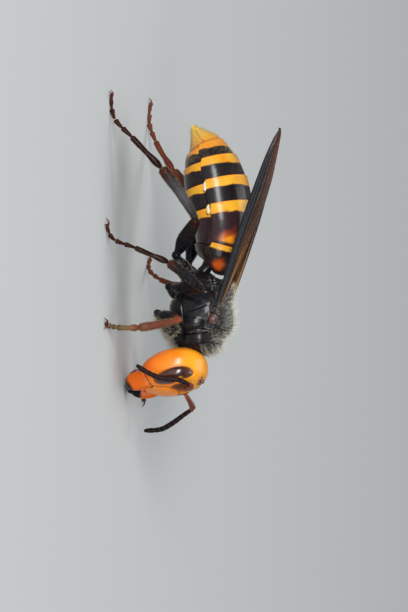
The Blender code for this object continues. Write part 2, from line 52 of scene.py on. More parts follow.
# Head, an upright egg whose level sections are widest at the side: the axis runs from chin to crown
HEAD_MIDDLE, HEAD_HALF = 7.15, 4.55
HEAD_AXIS_X = (10.5, 9.5)
HEAD_CORNER, HEAD_CLOSING = 2.35, 0.72
HEAD_SIZES = [  # height from 0 chin to 1 crown, half width, reach forward, reach back
    (0.0, 4.9, 3.5, 1.9),
    (0.3, 5.05, 3.4, 2.5),
    (0.5, 5.03, 3.25, 3.1),
    (0.68, 4.95, 3.1, 3.4),
    (1.0, 4.6, 2.6, 2.4),
]
HEAD_YAW = math.radians(-9.0)
HEAD_PIVOT = np.array([7.0, 0.0, 9.0])
CLYPEUS_MIDDLE, CLYPEUS_HALF_WIDTH, CLYPEUS_HALF_HEIGHT, CLYPEUS_CORNER = 5.45, 2.6, 2.25, 2.6
SOCKET = (13.05, 1.15, 8.5)  # where a feeler leaves the straight head, on the left
OCELLI = [(11.7, 0.0, 10.75), (11.35, 0.75, 11.0), (11.35, -0.75, 11.0)]

# Compound eye: its middle line as (share, height, angle from the face, half width)
EYE_LINE = [
    (0.0, 5.15, 59.0, 0.5),
    (0.22, 6.3, 63.0, 0.9),
    (0.45, 7.5, 66.5, 1.08),
    (0.68, 8.7, 71.0, 0.9),
    (0.88, 9.75, 68.5, 0.8),
    (1.0, 10.4, 65.0, 0.55),
]
EYE_SUNK, EYE_DEPTH = 0.3, 0.75

# Jaws and mouthparts of the straight head, on the left, with (share, half width) along them
JAW_LINE = [(11.45, 2.55, 4.9), (11.95, 2.75, 3.4), (12.15, 2.35, 1.7), (12.4, 0.85, 0.62)]
JAW_SIZES = [(0.0, 1.0), (0.35, 1.3), (0.7, 1.15), (0.95, 0.5), (1.0, 0.3)]
JAW_TEETH = [(12.75, 0.95, 0.72, 0.3), (12.3, 1.0, 0.6, 0.34), (11.85, 1.3, 0.68, 0.3)]  # middle, half width
PALP_LINE = [(10.4, 0.9, 3.1), (10.2, 1.3, 2.1), (10.5, 1.2, 1.3), (10.8, 0.8, 0.9)]
PALP_SIZES = [(0.0, 0.16), (0.3, 0.17), (0.34, 0.12), (0.6, 0.16), (0.65, 0.11), (0.9, 0.14), (1.0, 0.05)]

# Feelers: end of the scape, then the whip
ANTENNA_LINES = {
    "right": [(12.3, -4.4, 10.3), (11.6, -6.0, 8.8), (11.3, -6.6, 6.1), (10.5, -6.7, 4.3), (9.6, -6.7, 2.9)],
    "left": [(15.0, 3.1, 9.2), (15.9, 3.5, 7.8), (17.0, 3.9, 6.2), (17.8, 4.3, 4.7), (18.1, 4.8, 1.9)],
}
SCAPE_SIZES = [(0.0, 0.26), (0.06, 0.3), (0.1, 0.2), (0.16, 0.27), (0.5, 0.35), (0.85, 0.42), (0.97, 0.38),
               (1.0, 0.3)]
PEDICEL_SIZES = [(0.0, 0.2), (0.3, 0.3), (0.7, 0.33), (1.0, 0.2)]
WHIP_SIZES = [(0.0, 0.2), (0.03, 0.25), (0.25, 0.34), (0.8, 0.34), (0.95, 0.29), (0.99, 0.17), (1.0, 0.08)]
WHIP_JOINTS = 10.0

# Thorax, waist and wing covers
THORAX_BLOBS = [  # centre, reach forward, back, sideways, up, down, boxiness
    ((1.6, 0, 10.7), 3.3, 3.2, 4.25, 4.3, 4.4, 0.84),
    ((2.6, 0, 12.2), 3.0, 3.0, 3.85, 2.95, 3.0, 0.82),
    ((3.2, 0, 10.7), 1.7, 1.9, 4.16, 2.3, 2.8, 0.84),
    ((-1.0, 0, 13.4), 1.6, 1.5, 2.4, 1.75, 2.2, 0.86),
    ((-2.3, 0, 12.6), 1.1, 0.9, 2.3, 1.5, 1.8, 0.9),
    ((5.1, 0, 11.0), 2.6, 2.2, 3.9, 2.75, 2.8, 0.88),
    ((4.3, 0, 12.3), 2.2, 2.0, 3.3, 1.55, 2.0, 0.9),
    ((5.0, 0, 8.2), 2.0, 1.8, 2.5, 2.2, 1.9, 0.9),
    ((-1.4, 0, 9.8), 2.0, 2.9, 3.45, 3.6, 2.2, 0.98),
]
THORAX_VOXEL, THORAX_ROUNDS = 0.075, 30
THORAX_BULGES = [(3.7, 10.05, 1.3, 0.44), (5.9, 10.75, 1.1, 0.38), (-0.2, 9.6, 1.1, 0.2)]  # x, z, size, rise
WAIST_LINE = [(-3.0, 0, 10.4), (-4.3, 0, 11.2), (-6.0, 0, 12.3)]
WAIST_SIZES = [(0.0, 1.1), (0.3, 0.95), (0.5, 0.8), (0.62, 0.86), (1.0, 1.0)]
NECK_LINE, NECK_SIZES = [(6.2, 0, 9.6), (7.6, 0, 9.4)], [(0.0, 1.3), (0.5, 1.05), (1.0, 1.2)]
TEGULA_MIDDLE = (3.05, 3.95, 13.15)
HINGE_KNOBS = [  # middle, size, redness
    (2.05, 3.75, 13.45, 0.5, 0.1), (1.55, 3.95, 12.85, 0.42, 0.0),
    (2.35, 4.0, 12.45, 0.36, 0.15), (1.2, 3.6, 13.6, 0.45, 0.0),
]

# Abdomen: distance along its middle line, then middle x, middle z, half height, half width
GASTER = [
    (0.0, -4.5, 11.9, 1.1, 1.2),
    (0.35, -4.65, 12.1, 1.95, 2.3),
    (1.1, -5.35, 12.5, 2.75, 3.3),
    (2.9, -7.55, 13.15, 3.6, 4.3),
    (5.7, -10.4, 13.55, 4.1, 5.0),
    (8.6, -13.2, 13.1, 4.55, 5.3),
    (12.1, -16.6, 12.3, 4.45, 5.2),
    (15.2, -19.6, 11.5, 3.65, 4.45),
    (17.4, -21.6, 10.85, 2.55, 3.1),
    (19.6, -23.5, 9.65, 1.0, 1.2),
    (20.8, -24.5, 8.95, 0.2, 0.25),
]
GASTER_JOINTS = [0.0, 2.9, 8.35, 11.85, 15.0, 17.35, 20.8]
PLATE_EDGE = 97.0  # degrees from the top where the back plates end and the belly plates begin
BELLY_LAP = 9.0  # degrees that the belly plates reach under the back plates
BELLY_LOW, BELLY_BACK = 0.16, 0.45  # how much lower they lie, and how far before the rear rim they end
PLATE_SWELL = 0.1505  # rise of each plate from front to rim
PLATE_TUCK, PLATE_SINK = 0.8, 0.3  # how far each reaches under the plate before it, and how deep
RIM_ROLL = [(0.03, -0.05), (0.03, -0.1), (0.0, -0.13), (-0.5, -0.16)]  # past the rear rim, and how far sunk
EDGE_ROLL = [(1.004, -0.04), (1.004, -0.09), (0.99, -0.13), (0.95, -0.16)]  # share of the way across, sunk
BAND_WIDTHS = [0.56, 1.42, 1.35, 1.22, 0.95]  # yellow rim of each segment but the last, which is all yellow
RUST_WIDTH = 1.5  # rust-red front of the second segment
SIDE_PATCHES = [(7.75, PLATE_EDGE + 2.0), (11.0, PLATE_EDGE - 1.0)]  # distance along, degrees from the top

# Legs: hip, end of the coxa, knee, ankle, end of the first foot joint, claws
LEG_JOINTS = {
    "front_right": [(4.6, -2.0, 7.3), (2.1, -3.2, 5.0), (3.4, -7.0, 8.9),
                    (4.7, -9.8, 3.8), (4.8, -11.5, 1.3), (4.6, -14.7, 0.17)],
    "front_left": [(4.6, 2.0, 7.3), (4.0, 3.3, 5.0), (6.2, 7.2, 8.4),
                   (9.3, 9.6, 3.7), (10.6, 10.7, 1.3), (13.2, 12.4, 0.17)],
    "middle_right": [(-0.5, -2.6, 8.2), (-1.5, -4.0, 6.7), (-0.7, -8.0, 12.2),
                     (-4.2, -11.0, 8.0), (-6.0, -12.8, 3.7), (-8.7, -15.3, 0.17)],
    "middle_left": [(-0.5, 2.6, 8.2), (-1.2, 4.0, 6.7), (-0.5, 8.2, 11.6),
                    (-2.9, 11.2, 6.3), (-4.2, 12.9, 2.2), (-7.2, 15.4, 0.17)],
    "hind_right": [(-3.2, -2.2, 9.0), (-5.7, -4.2, 7.7), (-10.4, -7.8, 11.2),
                   (-17.2, -11.0, 6.8), (-21.3, -12.6, 2.9), (-26.6, -14.2, 0.17)],
    "hind_left": [(-3.2, 2.2, 9.0), (-5.1, 4.0, 7.9), (-12.3, 7.5, 9.4),
                  (-19.6, 10.6, 4.4), (-23.8, 12.2, 1.6), (-29.6, 14.0, 0.17)],
}
# Thickest half width of coxa, femur, tibia and foot, then (share, part of that) along each length of a leg.
# Spurs and claws have (share, half width).
LEG_SIZES = {"front": (1.0, 0.9, 0.6, 0.36), "middle": (1.05, 0.9, 0.64, 0.36), "hind": (1.1, 1.02, 0.7, 0.4)}
COXA_SIZES = [(0.0, 0.95), (0.45, 0.97), (0.8, 0.66), (0.93, 0.48), (1.0, 0.4)]
RING_SIZES = [(0.0, 0.3), (0.15, 0.5), (0.5, 0.62), (0.85, 0.52), (1.0, 0.35)]
FEMUR_SIZES = [(0.0, 0.34), (0.03, 0.42), (0.12, 0.6), (0.35, 1.0), (0.75, 0.85), (0.93, 0.64), (0.98, 0.52),
               (1.0, 0.3)]
TIBIA_SIZES = [(0.0, 0.35), (0.03, 0.58), (0.12, 0.72), (0.6, 1.0), (0.9, 1.02), (0.97, 0.9), (1.0, 0.5)]
SPUR_SIZES = [(0.0, 0.2), (0.5, 0.13), (1.0, 0.03)]
CLAW_SIZES = [(0.0, 0.15), (0.5, 0.12), (1.0, 0.03)]
LONG_JOINT = [(0.0, 0.6), (0.04, 0.85), (0.5, 0.88), (0.9, 0.98), (0.98, 0.88), (1.0, 0.5)]
SHORT_JOINT = [(0.0, 0.46), (0.15, 0.56), (0.7, 0.84), (0.92, 0.88), (1.0, 0.45)]
LAST_JOINT = [(0.0, 0.38), (0.2, 0.45), (0.8, 0.72), (1.0, 0.4)]
FOOT_STEPS = 200
FOOT_JOINTS = [(0.0, 0.48, LONG_JOINT), (0.48, 0.62, SHORT_JOINT), (0.62, 0.75, SHORT_JOINT),
               (0.75, 0.87, SHORT_JOINT), (0.87, 1.0, LAST_JOINT)]

# Wings, folded lengthwise: each is a narrow blade from its hinge to its tip
FOREWING_ROOT = (1.7, 3.9, 13.2)
FOREWING_TIPS = {"right": (-23.4, 7.5, 22.0), "left": (-23.3, 8.2, 19.5)}
HINDWING_REACH, HINDWING_UNDER = (0.04, 0.7), 0.82  # shares of the forewing where it starts and ends
HINDWING_INSIDE = {"right": 0.7, "left": 0.1}
BLADE_TILT = [(0.0, 36.0), (0.35, 36.0), (0.9, 24.0), (1.0, 22.0)]
BLADE_BOW, BLADE_CAMBER = 0.25, 0.06
TIP_SWEEP = [(0.0, 0.0), (0.7, 0.0), (0.85, 0.25), (0.95, 0.75), (1.0, 1.1)]
FILM_HALF = 0.022
STRIP_REACH = [(0.0, 0.62), (0.3, 0.46), (0.62, 0.42), (0.85, 0.36), (1.0, 0.4)]
STALK_END, STALK_SIZES = (3.0, 3.3, 13.0), [(0.0, 0.3), (0.4, 0.42), (0.7, 0.3), (1.0, 0.4)]
EDGE_SIZES = [(0.0, 0.16), (0.5, 0.15), (0.8, 0.12), (1.0, 0.04)]
VEIN_SIZES = [(0.0, 0.12), (0.6, 0.08), (1.0, 0.03)]
MIDDLE_VEIN_SIZES = [(0.0, 0.1), (0.6, 0.08), (1.0, 0.03)]
SLIM_VEIN_SIZES = [(0.0, 0.1), (0.6, 0.07), (1.0, 0.03)]

# Colours, linear red green blue
BLACK = np.array([0.004, 0.0045, 0.0065])
BROWN_BLACK = np.array([0.014, 0.008, 0.008])
YELLOW = np.array([0.86, 0.35, 0.015])
LEMON = np.array([0.82, 0.5, 0.05])
AMBER = np.array([0.86, 0.32, 0.012])
ORANGE = np.array([0.83, 0.21, 0.006])
DEEP_ORANGE = np.array([0.75, 0.125, 0.004])
FACE_ORANGE = np.array([0.9, 0.24, 0.001])
RED_ORANGE = np.array([0.74, 0.12, 0.01])
RUST = np.array([0.6, 0.09, 0.012])
RED_BROWN = np.array([0.16, 0.035, 0.015])
ROSE_BROWN = np.array([0.13, 0.038, 0.024])
PLUM_BLACK = np.array([0.03, 0.013, 0.017])
TAN = np.array([0.14, 0.085, 0.04])
# painted sheen: the pale slate band down the hind shins
SHEEN_SLATE = np.array([0.055, 0.056, 0.066])
PALE_SKIN = np.array([0.66, 0.53, 0.33])
LENS_BROWN = np.array([0.12, 0.03, 0.012])
EYE_TONES = np.array([0.03, 0.009, 0.006]), np.array([0.085, 0.024, 0.01])
THORAX_HAIRS = np.array([0.1, 0.08, 0.06]), np.array([0.88, 0.83, 0.66]), np.array([0.85, 0.78, 0.58])
ABDOMEN_HAIRS = np.array([0.3, 0.19, 0.07]), np.array([0.7, 0.5, 0.22])
TEGULA_TONES = np.array([0.12, 0.042, 0.03]), np.array([0.03, 0.01, 0.008])
FILM_GOLD, FILM_AMBER = np.array([0.26, 0.11, 0.02]), np.array([0.055, 0.015, 0.003])
FILM_RED, FILM_SMOKE = np.array([0.11, 0.026, 0.009]), np.array([0.009, 0.004, 0.003])
STRIP_TONES = np.array([0.007, 0.008, 0.012]), np.array([0.011, 0.006, 0.005]), np.array([0.03, 0.009, 0.005])
HAIR_GOLD, HAIR_CREAM = np.array([0.5, 0.33, 0.13]), np.array([0.9, 0.82, 0.58])
HAIR_DUSK, HAIR_ORANGE = np.array([0.09, 0.06, 0.04]), np.array([0.7, 0.34, 0.08])

# Each wing: (share, width) along it, how far its fold comes back under, its veins as (line, half widths, end,
# lift, colour) with the line as (share, place across), and its cross veins by their ends
WINGS = {
    "forewing": (
        [(0.0, 0.9), (0.15, 1.6), (0.4, 2.6), (0.65, 3.2), (0.85, 2.5), (0.94, 1.45), (0.98, 0.8),
         (1.0, 0.16)],
        0.62,
        [([(0.0, 0.06), (0.3, 0.03), (1.0, 0.03)], EDGE_SIZES, 0.99, 0.12, BLACK * 1.4),
         ([(0.0, 0.55), (0.3, 0.56), (0.62, 0.68), (1.0, 0.62)], SLIM_VEIN_SIZES, 0.86),
         ([(0.0, 0.85), (0.3, 0.93), (0.6, 0.96), (1.0, 0.9)], MIDDLE_VEIN_SIZES, 0.8)],
        [((0.52, 0.3), (0.56, 0.64)), ((0.66, 0.34), (0.69, 0.68)), ((0.74, 0.32), (0.78, 0.66)),
         ((0.36, 0.58), (0.4, 0.95))],
    ),
    "hindwing": (
        [(0.0, 0.5), (0.25, 0.9), (0.5, 1.4), (0.75, 1.8), (0.93, 1.2), (1.0, 0.5)],
        0.45,
        [([(0.0, 0.05), (1.0, 0.04)], VEIN_SIZES, 0.97, 0.12),
         ([(0.0, 0.4), (0.5, 0.45), (1.0, 0.5)], VEIN_SIZES, 0.85),
         ([(0.0, 0.8), (0.5, 0.9), (1.0, 0.9)], VEIN_SIZES, 0.75)],
        [((0.5, 0.05), (0.55, 0.45)), ((0.62, 0.46), (0.66, 0.88))],
    ),
}

# Shells: roughness, mottling, pits, pits to a millimetre, relief, coat, coat roughness, specular level
SHELLS = {
    "eye_facets": (0.2, 0.35, 1.0, 28.0, 0.0015, 0.5, 0.12, 0.5),
    "head_shell": (0.32, 0.12, 0.25, 7.0, 0.012, 0.24, 0.24, 0.08),
    "jaw_shell": (0.26, 0.15, 0.3, 6.0, 0.015, 0.0, 0.12, 0.25),
    "scape_shell": (0.28, 0.2, 0.3, 9.0, 0.02, 0.0, 0.12, 0.5),
    "feeler_shell": (0.42, 0.25, 0.5, 14.0, 0.02, 0.0, 0.12, 0.08),
    "thorax_shell": (0.3, 0.3, 0.3, 6.5, 0.01, 0.2, 0.17, 0.2),
    "tegula_shell": (0.36, 0.3, 0.7, 7.0, 0.02, 0.0, 0.12, 0.5),
    "abdomen_shell": (0.24, 0.2, 0.3, 8.0, 0.01, 0.15, 0.12, 0.25),
    "leg_shell": (0.26, 0.25, 0.4, 9.0, 0.014, 0.0, 0.12, 0.1),
    "wing_film": (0.28, 0.3, 0.3, 6.0, 0.02, 0.1, 0.12, 0.3),
    "wing_vein": (0.34, 0.25, 0.3, 5.0, 0.02, 0.1, 0.12, 0.25),
}
HEAD_COAT_IOR, FILM_ALPHA = 2.2, 0.78

# Hair. The legs have hairs, length and lean by the number of the skin.
THORAX_TRIES, PLATE_TRIES, HEAD_TRIES = 42000, 1500, 5200  # places of which only some keep their hair
HAIR_SUNK, HAIR_LOWEST = 0.03, 0.02  # how deep roots are in the skin, and how near the floor hairs may come
HAIR_PATCH = np.array([(0, 0), (3, 0), (1.5, 0.6), (0.5, 1.6), (2.5, 1.6), (1.5, 2.0), (1.5, 3.0)]) * 0.001
LEG_COATS = {0: (420, 0.34, 0.5), 2: (420, 0.28, 0.55), 3: (950, 0.36, 0.5), 5: (420, 0.2, 0.6),
             6: (420, 0.2, 0.6)}
OTHER_LEG_COAT, FRONT_COXA_COAT = (110, 0.14, 0.7), (1500, 0.85, 0.35)

# Studio, in metres
LIGHTS = [  # name, direction, distance, width and height, power, colour
    ("key", (-0.2, -0.92, 0.34), 1.0, (0.85, 0.22), 11.5, (0.98, 0.99, 1.0)),
    ("fill", (0.6, -0.75, 0.28), 1.0, (0.5, 0.4), 2.6, (0.85, 0.93, 1.0)),
    ("top", (0.0, 0.35, 1.0), 1.2, (0.9, 0.9), 5.5, (1.0, 1.0, 1.0)),
]
FLOOR_HALF, FLOOR_COLOUR, FLOOR_ROUGHNESS = 1.5, (0.56, 0.57, 0.56, 1), 0.85
SKY_COLOUR, SKY_STRENGTH = (0.86, 0.92, 1.0, 1), 0.25
VIEW_RISE, VIEW_SWING = math.radians(10.0), math.radians(5.0)
VIEW_MIDDLE = np.array([0.841, 0.0, 11.075])  # the point in the middle of the picture, in body millimetres
VIEW_HEIGHT = 0.085475  # what the picture's height covers


# Numbers and points

def smooth(table, at):
    """The values at each place on a smooth curve through the rows (place, value, ...) of a short table."""
    rows = np.array(table, float)
    places, values = rows[:, 0], rows[:, 1:]
    slopes = np.gradient(values, places, axis=0)
    at = np.asarray(at, float)
    i = np.clip(np.searchsorted(places, at) - 1, 0, len(places) - 2)
    span = (places[i + 1] - places[i])[..., None]
    s = np.clip((at - places[i])[..., None] / span, 0.0, 1.0)
    ease = s * s * (3 - 2 * s)
    lean_in, lean_out = s * (1 - s) ** 2 * span, s * s * (s - 1) * span
    return values[i] * (1 - ease) + values[i + 1] * ease + slopes[i] * lean_in + slopes[i + 1] * lean_out


def step(low, high, value):
    """0 below low, 1 above high, with a soft rise between; low may be the larger, for a fall."""
    s = np.clip((value - low) / (high - low), 0.0, 1.0)
    return s * s * (3 - 2 * s)


def bell(value, width):
    """1 at zero, and next to nothing beyond twice the width."""
    return np.exp(-(value / width) ** 2)


def unit(vectors):
    vectors = np.asarray(vectors, float)
    return vectors / np.maximum(np.linalg.norm(vectors, axis=-1, keepdims=True), 1e-12)


def mixed(one, two, share):
    """From colour one to colour two by a share for each point."""
    share = np.asarray(share, float)[..., None]
    return one * (1 - share) + two * share


def layered(paint, *layers):
    """A colour under layers of (colour, share), the last of them on top."""
    for colour, share in layers:
        paint = mixed(paint, colour, share)
    return paint


def ripple(points, size, seed):
    """Smooth noise of about -1 to 1 over points, with features of about the given size."""
    random = np.random.default_rng(seed)
    total = 0.0
    for _ in range(7):
        direction = unit(random.normal(size=3))
        wave = size * random.uniform(0.7, 1.6)
        total = total + np.sin(points @ direction * (2 * math.pi / wave) + random.uniform(0, 2 * math.pi))
    return total / 4.0


def full_turn(count):
    """Evenly spaced angles of a full turn, as one row."""
    return (2 * math.pi * np.arange(count) / count)[None, :]


def mirrored(points, sign):
    """Points given for the left side, on the side with that sign."""
    return np.array(points, float) * (1.0, sign, 1.0)


def grid(down, along):
    """The values down and along a grid, one of each for every point of it."""
    return np.broadcast_arrays(np.asarray(down)[:, None], np.asarray(along).reshape(1, -1))


def path_through(points, steps):
    """Evenly many points on a smooth line through the given ones, with the line's direction at each."""
    spots = np.array(points, float)
    runs = np.concatenate([[0.0], np.cumsum(np.linalg.norm(np.diff(spots, axis=0), axis=1))])
    line = smooth(np.column_stack([runs, spots]), np.linspace(0, runs[-1], steps + 1))
    return line, unit(np.concatenate([line[1:], line[-1:]]) - np.concatenate([line[:1], line[:-1]]))


def carried(ahead, side):
    """Across and upward directions along a line, carried from its start with no twist."""
    across = [unit(np.cross(ahead[0], side))]
    for direction in ahead[1:]:
        across.append(unit(across[-1] - direction * (across[-1] @ direction)))
    across = np.array(across)
    return across, unit(np.cross(across, ahead))


def sections(line, one, two, along_one, along_two):
    """Rings round a line: two directions at each of its points, and how far ring points lie along them."""
    return line[:, None] + one[:, None] * along_one[..., None] + two[:, None] * along_two[..., None]


# Skins

class Skin:
    """A surface in body millimetres: points, faces by their corners, and for every point a colour and its
    place on an unwrap of the surface."""

    def __init__(self, points, quads, tris=NO_TRIS, paint=BLACK, unwrap=(0.5, 0.5)):
        self.points = np.asarray(points, float).reshape(-1, 3)
        self.quads, self.tris = quads, tris
        self.paint = np.broadcast_to(paint, self.points.shape).copy()
        self.unwrap = np.broadcast_to(unwrap, (len(self.points), 2)).copy()

    def facings(self, middle=0.0):
        """For each kind of face: corners by number, corners as points from a middle, and normals as long as
        the faces are large."""
        for faces in (self.quads, self.tris):
            if len(faces):
                corners = self.points[faces] - middle
                yield faces, corners, np.cross(corners[:, 2] - corners[:, 0], corners[:, -1] - corners[:, 1])

    def normals(self):
        total = np.zeros_like(self.points)
        for faces, _, facing in self.facings():
            for k in range(faces.shape[1]):
                np.add.at(total, faces[:, k], facing)
        return unit(total)

    def face_outwards(self):
        """Turns every face round if the skin is inside out."""
        facings = self.facings(self.points.mean(0))
        if sum((corners.mean(1) * facing).sum() for _, corners, facing in facings) < 0:
            self.quads, self.tris = self.quads[:, ::-1], self.tris[:, ::-1]
        return self

    def raised(self, heights):
        """Moves every point along its normal."""
        self.points = self.points + self.normals() * np.asarray(heights, float)[:, None]
        return self


def beside(unwrap, number, count):
    """An unwrap as the given one of several that stand side by side."""
    return (unwrap + (number, 0.0)) / (count, 1.0)


def joined(skins):
    """One skin of several, whose unwraps stand side by side."""
    parts, count = [], 0
    for number, skin in enumerate(skins):
        unwrap = beside(skin.unwrap, number, len(skins))
        parts.append((skin.points, skin.quads + count, skin.tris + count, skin.paint, unwrap))
        count += len(skin.points)
    return Skin(*(np.concatenate(rows) for rows in zip(*parts)))


def grid_quads(rows, columns, wrapped):
    """Faces between the points of a grid, whose columns may close on themselves."""
    row, column = np.meshgrid(np.arange(rows - 1), np.arange(columns - (not wrapped)), indexing="ij")
    one = (row * columns + column).ravel()
    two = (row * columns + (column + 1) % columns).ravel()
    return np.column_stack([one, two, two + columns, one + columns])


def grid_unwrap(rows, columns):
    """Places of a grid's points on a square, which keep a small margin."""
    down, along = grid(np.linspace(0.02, 0.98, rows), np.linspace(0.02, 0.98, columns))
    return np.column_stack([down.ravel(), along.ravel()])


def rod(rings, paint=BLACK):
    """A closed skin over rings, each end closed by a fan. paint: one colour, or one for each ring point."""
    rows, columns = rings.shape[:2]
    points = np.concatenate([rings.reshape(-1, 3), rings[:1].mean(1), rings[-1:].mean(1)])
    now = np.arange(columns)
    after, hub, last_row = (now + 1) % columns, np.full(columns, rows * columns), (rows - 1) * columns
    tris = np.concatenate([
        np.column_stack([hub, after, now]), np.column_stack([last_row + now, last_row + after, hub + 1])])
    colours = np.broadcast_to(paint, rings.shape)
    colours = np.concatenate([colours.reshape(-1, 3), colours[0, :1], colours[-1, :1]])
    unwrap = grid_unwrap(rows, columns)
    unwrap = np.concatenate([unwrap, unwrap[:1], unwrap[-1:]])
    return Skin(points, grid_quads(rows, columns, True), tris, colours, unwrap).face_outwards()


def sheet(upper, lower, paint):
    """A thin closed skin with two faces, which have the same colours."""
    rings = np.concatenate([upper, lower[:, ::-1]], axis=1)
    return rod(rings, np.concatenate([paint, paint[:, ::-1]], axis=1))


def limb(points, sizes, steps=24, around=20, side=(0.0, 0.0, 1.0), size=1.0, squeeze=1.0, paint=BLACK,
         shape=None):
    """A tapering rod along a smooth line. sizes: share of the length, half width, which size scales.
    squeeze: its half depth as a share of that. paint may be a paint(share, turn), and shape(share, turn)
    scales its sections."""
    line, ahead = path_through(points, steps)
    share, turn = grid(np.linspace(0, 1, steps + 1), full_turn(around))
    half = smooth(sizes, share[:, 0])[:, :1] * size * (shape(share, turn) if shape else 1.0)
    across, upward = carried(ahead, side)
    rings = sections(line, upward, across, half * np.cos(turn), half * squeeze * np.sin(turn))
    return rod(rings, paint(share, turn) if callable(paint) else paint)


def egg(centre, front, back, side, top, bottom, corner=0.9, around=48, rows=28, paint=BLACK):
    """A closed ball with its own reach each way; a corner under 1 makes it boxier."""
    polar, turn = grid(np.linspace(0, math.pi, rows + 2)[1:-1], full_turn(around))
    ball = np.stack([np.sin(polar) * np.cos(turn), np.sin(polar) * np.sin(turn), np.cos(polar)], -1)
    ball = np.sign(ball) * np.abs(ball) ** corner
    reach = np.stack([np.where(ball[..., 0] > 0, front, back), np.full(ball.shape[:2], side),
                      np.where(ball[..., 2] > 0, top, bottom)], -1)
    skin = rod(ball * reach + np.array(centre), paint)
    skin.points[-2] = np.array(centre) + (0, 0, top)
    skin.points[-1] = np.array(centre) - (0, 0, bottom)
    return skin


def placed(name, data):
    """A new object in the scene."""
    thing = bpy.data.objects.new(name, data)
    bpy.context.scene.collection.objects.link(thing)
    return thing


def new_mesh(name, points, quads, tris):
    mesh = bpy.data.meshes.new(name)
    mesh.vertices.add(len(points))
    mesh.vertices.foreach_set("co", np.asarray(points, np.float32).ravel())
    corners = np.concatenate([quads.ravel(), tris.ravel()]).astype(np.int32)
    counts = np.concatenate([np.full(len(quads), 4), np.full(len(tris), 3)])
    mesh.loops.add(len(corners))
    mesh.loops.foreach_set("vertex_index", corners)
    mesh.polygons.add(len(counts))
    mesh.polygons.foreach_set("loop_start", (np.cumsum(counts) - counts).astype(np.int32))
    mesh.update(calc_edges=True)
    mesh.shade_smooth()
    return mesh


def fused(skins, voxel, rounds):
    """One closed skin around all the given ones, evened out."""
    whole = joined(skins)
    thing = placed("fused", new_mesh("fused", whole.points, whole.quads, whole.tris))
    remesh = thing.modifiers.new("remesh", "REMESH")
    remesh.mode = "VOXEL"
    remesh.voxel_size = voxel
    even = thing.modifiers.new("even", "SMOOTH")
    even.factor = 0.5
    even.iterations = rounds
    made = thing.evaluated_get(bpy.context.evaluated_depsgraph_get()).to_mesh()
    points = np.zeros(len(made.vertices) * 3)
    made.vertices.foreach_get("co", points)
    faces = [tuple(face.vertices) for face in made.polygons]
    bpy.data.objects.remove(thing, do_unlink=True)
    quads, tris = (np.array([f for f in faces if len(f) == n], int).reshape(-1, n) for n in (4, 3))
    return Skin(points, quads, tris).face_outwards()


def add_piece(name, skins, material, slot, *nodes):
    """Makes one piece of the skins, which stands for the CAD nodes."""
    skin = joined(skins)
    mesh = new_mesh(name, (skin.points + FRAME_SHIFT) * MM, skin.quads, skin.tris)
    colours = np.column_stack([skin.paint, np.ones(len(skin.paint))]).astype(np.float32)
    mesh.attributes.new("paint", "FLOAT_COLOR", "POINT").data.foreach_set("color", colours.ravel())
    mesh.materials.append(materials[material])
    piece = placed(name, mesh)
    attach(piece, "root")
    if nodes:
        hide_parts(*nodes)
    return piece


# Hair

def sampled(skin, count, random):
    """Places spread evenly over a skin: points, outward directions and places on its unwrap."""
    corners = np.concatenate([skin.quads[:, [0, 1, 2]], skin.quads[:, [0, 2, 3]], skin.tris])
    a, b, c = (skin.points[corners[:, k]] for k in range(3))
    areas = np.linalg.norm(np.cross(b - a, c - a), axis=1)
    chosen = corners[random.choice(len(corners), count, p=areas / areas.sum())]
    s, t = random.random((2, count))
    s, t = np.where(s + t > 1, (1 - s, 1 - t), (s, t))
    weights = np.stack([1 - s - t, s, t], 1)[..., None]
    spots = (skin.points[chosen] * weights).sum(1)
    return spots, unit((skin.normals()[chosen] * weights).sum(1)), skin.unwrap[chosen[:, 0]]


def hairs(places, lie, length, half, lean, tint, random):
    """Hairs as thin bent cones at sampled places. lie: the way they lean. lean: 0 stands, 1 lies flat. Each
    has a small patch of the unwrap at its root's place."""
    spots, outs, unwrap = places
    count = len(spots)
    lie = lie - outs * (lie * outs).sum(1, keepdims=True)
    lie = unit(unit(lie) + random.normal(0.0, 0.22, (count, 3)))
    lean = np.broadcast_to(lean, count)[:, None]
    length = (np.broadcast_to(length, count) * random.uniform(0.6, 1.15, count))[:, None]
    along = unit(outs * (1 - lean) + lie * lean + random.normal(0.0, 0.08, (count, 3)))
    roots = spots - outs * HAIR_SUNK
    middle = roots + along * length * 0.5
    tips = middle + unit(along + lie * 0.5 * lean + random.normal(0.0, 0.12, (count, 3))) * length * 0.5
    side = unit(np.cross(along, outs + (0.013, 0.007, 0.011)))
    up = np.cross(along, side)
    points = np.zeros((count, 7, 3))
    for k in range(3):
        turn = 2 * math.pi * k / 3
        around = (side * math.cos(turn) + up * math.sin(turn)) * half
        points[:, k] = roots + around
        points[:, 3 + k] = middle + around * 0.75
    points[:, 6] = tips
    points[..., 2] = np.maximum(points[..., 2], HAIR_LOWEST)
    start = 7 * np.arange(count)[:, None]
    quads = np.concatenate([start + np.array([k, (k + 1) % 3, 3 + (k + 1) % 3, 3 + k]) for k in range(3)])
    tris = np.concatenate([start + np.array([3 + k, 3 + (k + 1) % 3, 6]) for k in range(3)])
    shade = random.uniform(0.6, 1.2, (count, 1, 1)) * np.repeat([0.45, 0.85, 1.15], [3, 3, 1])[:, None]
    colours = np.broadcast_to(tint, (count, 3))[:, None] * shade
    return Skin(points, quads, tris, colours.reshape(-1, 3), (unwrap[:, None] + HAIR_PATCH).reshape(-1, 2))


def add_coat(name, coats, slot):
    """Adds coats of hair as one piece, with the map that its colours are kept on."""
    piece = add_piece(name, coats, "hair", slot)
    corners = np.zeros(len(piece.data.loops), np.int32)
    piece.data.loops.foreach_get("vertex_index", corners)
    unwrap = np.concatenate([coat.unwrap for coat in coats])
    layer = piece.data.uv_layers.new(name="OFBake")
    layer.data.foreach_set("uv", unwrap[corners].astype(np.float32).ravel())


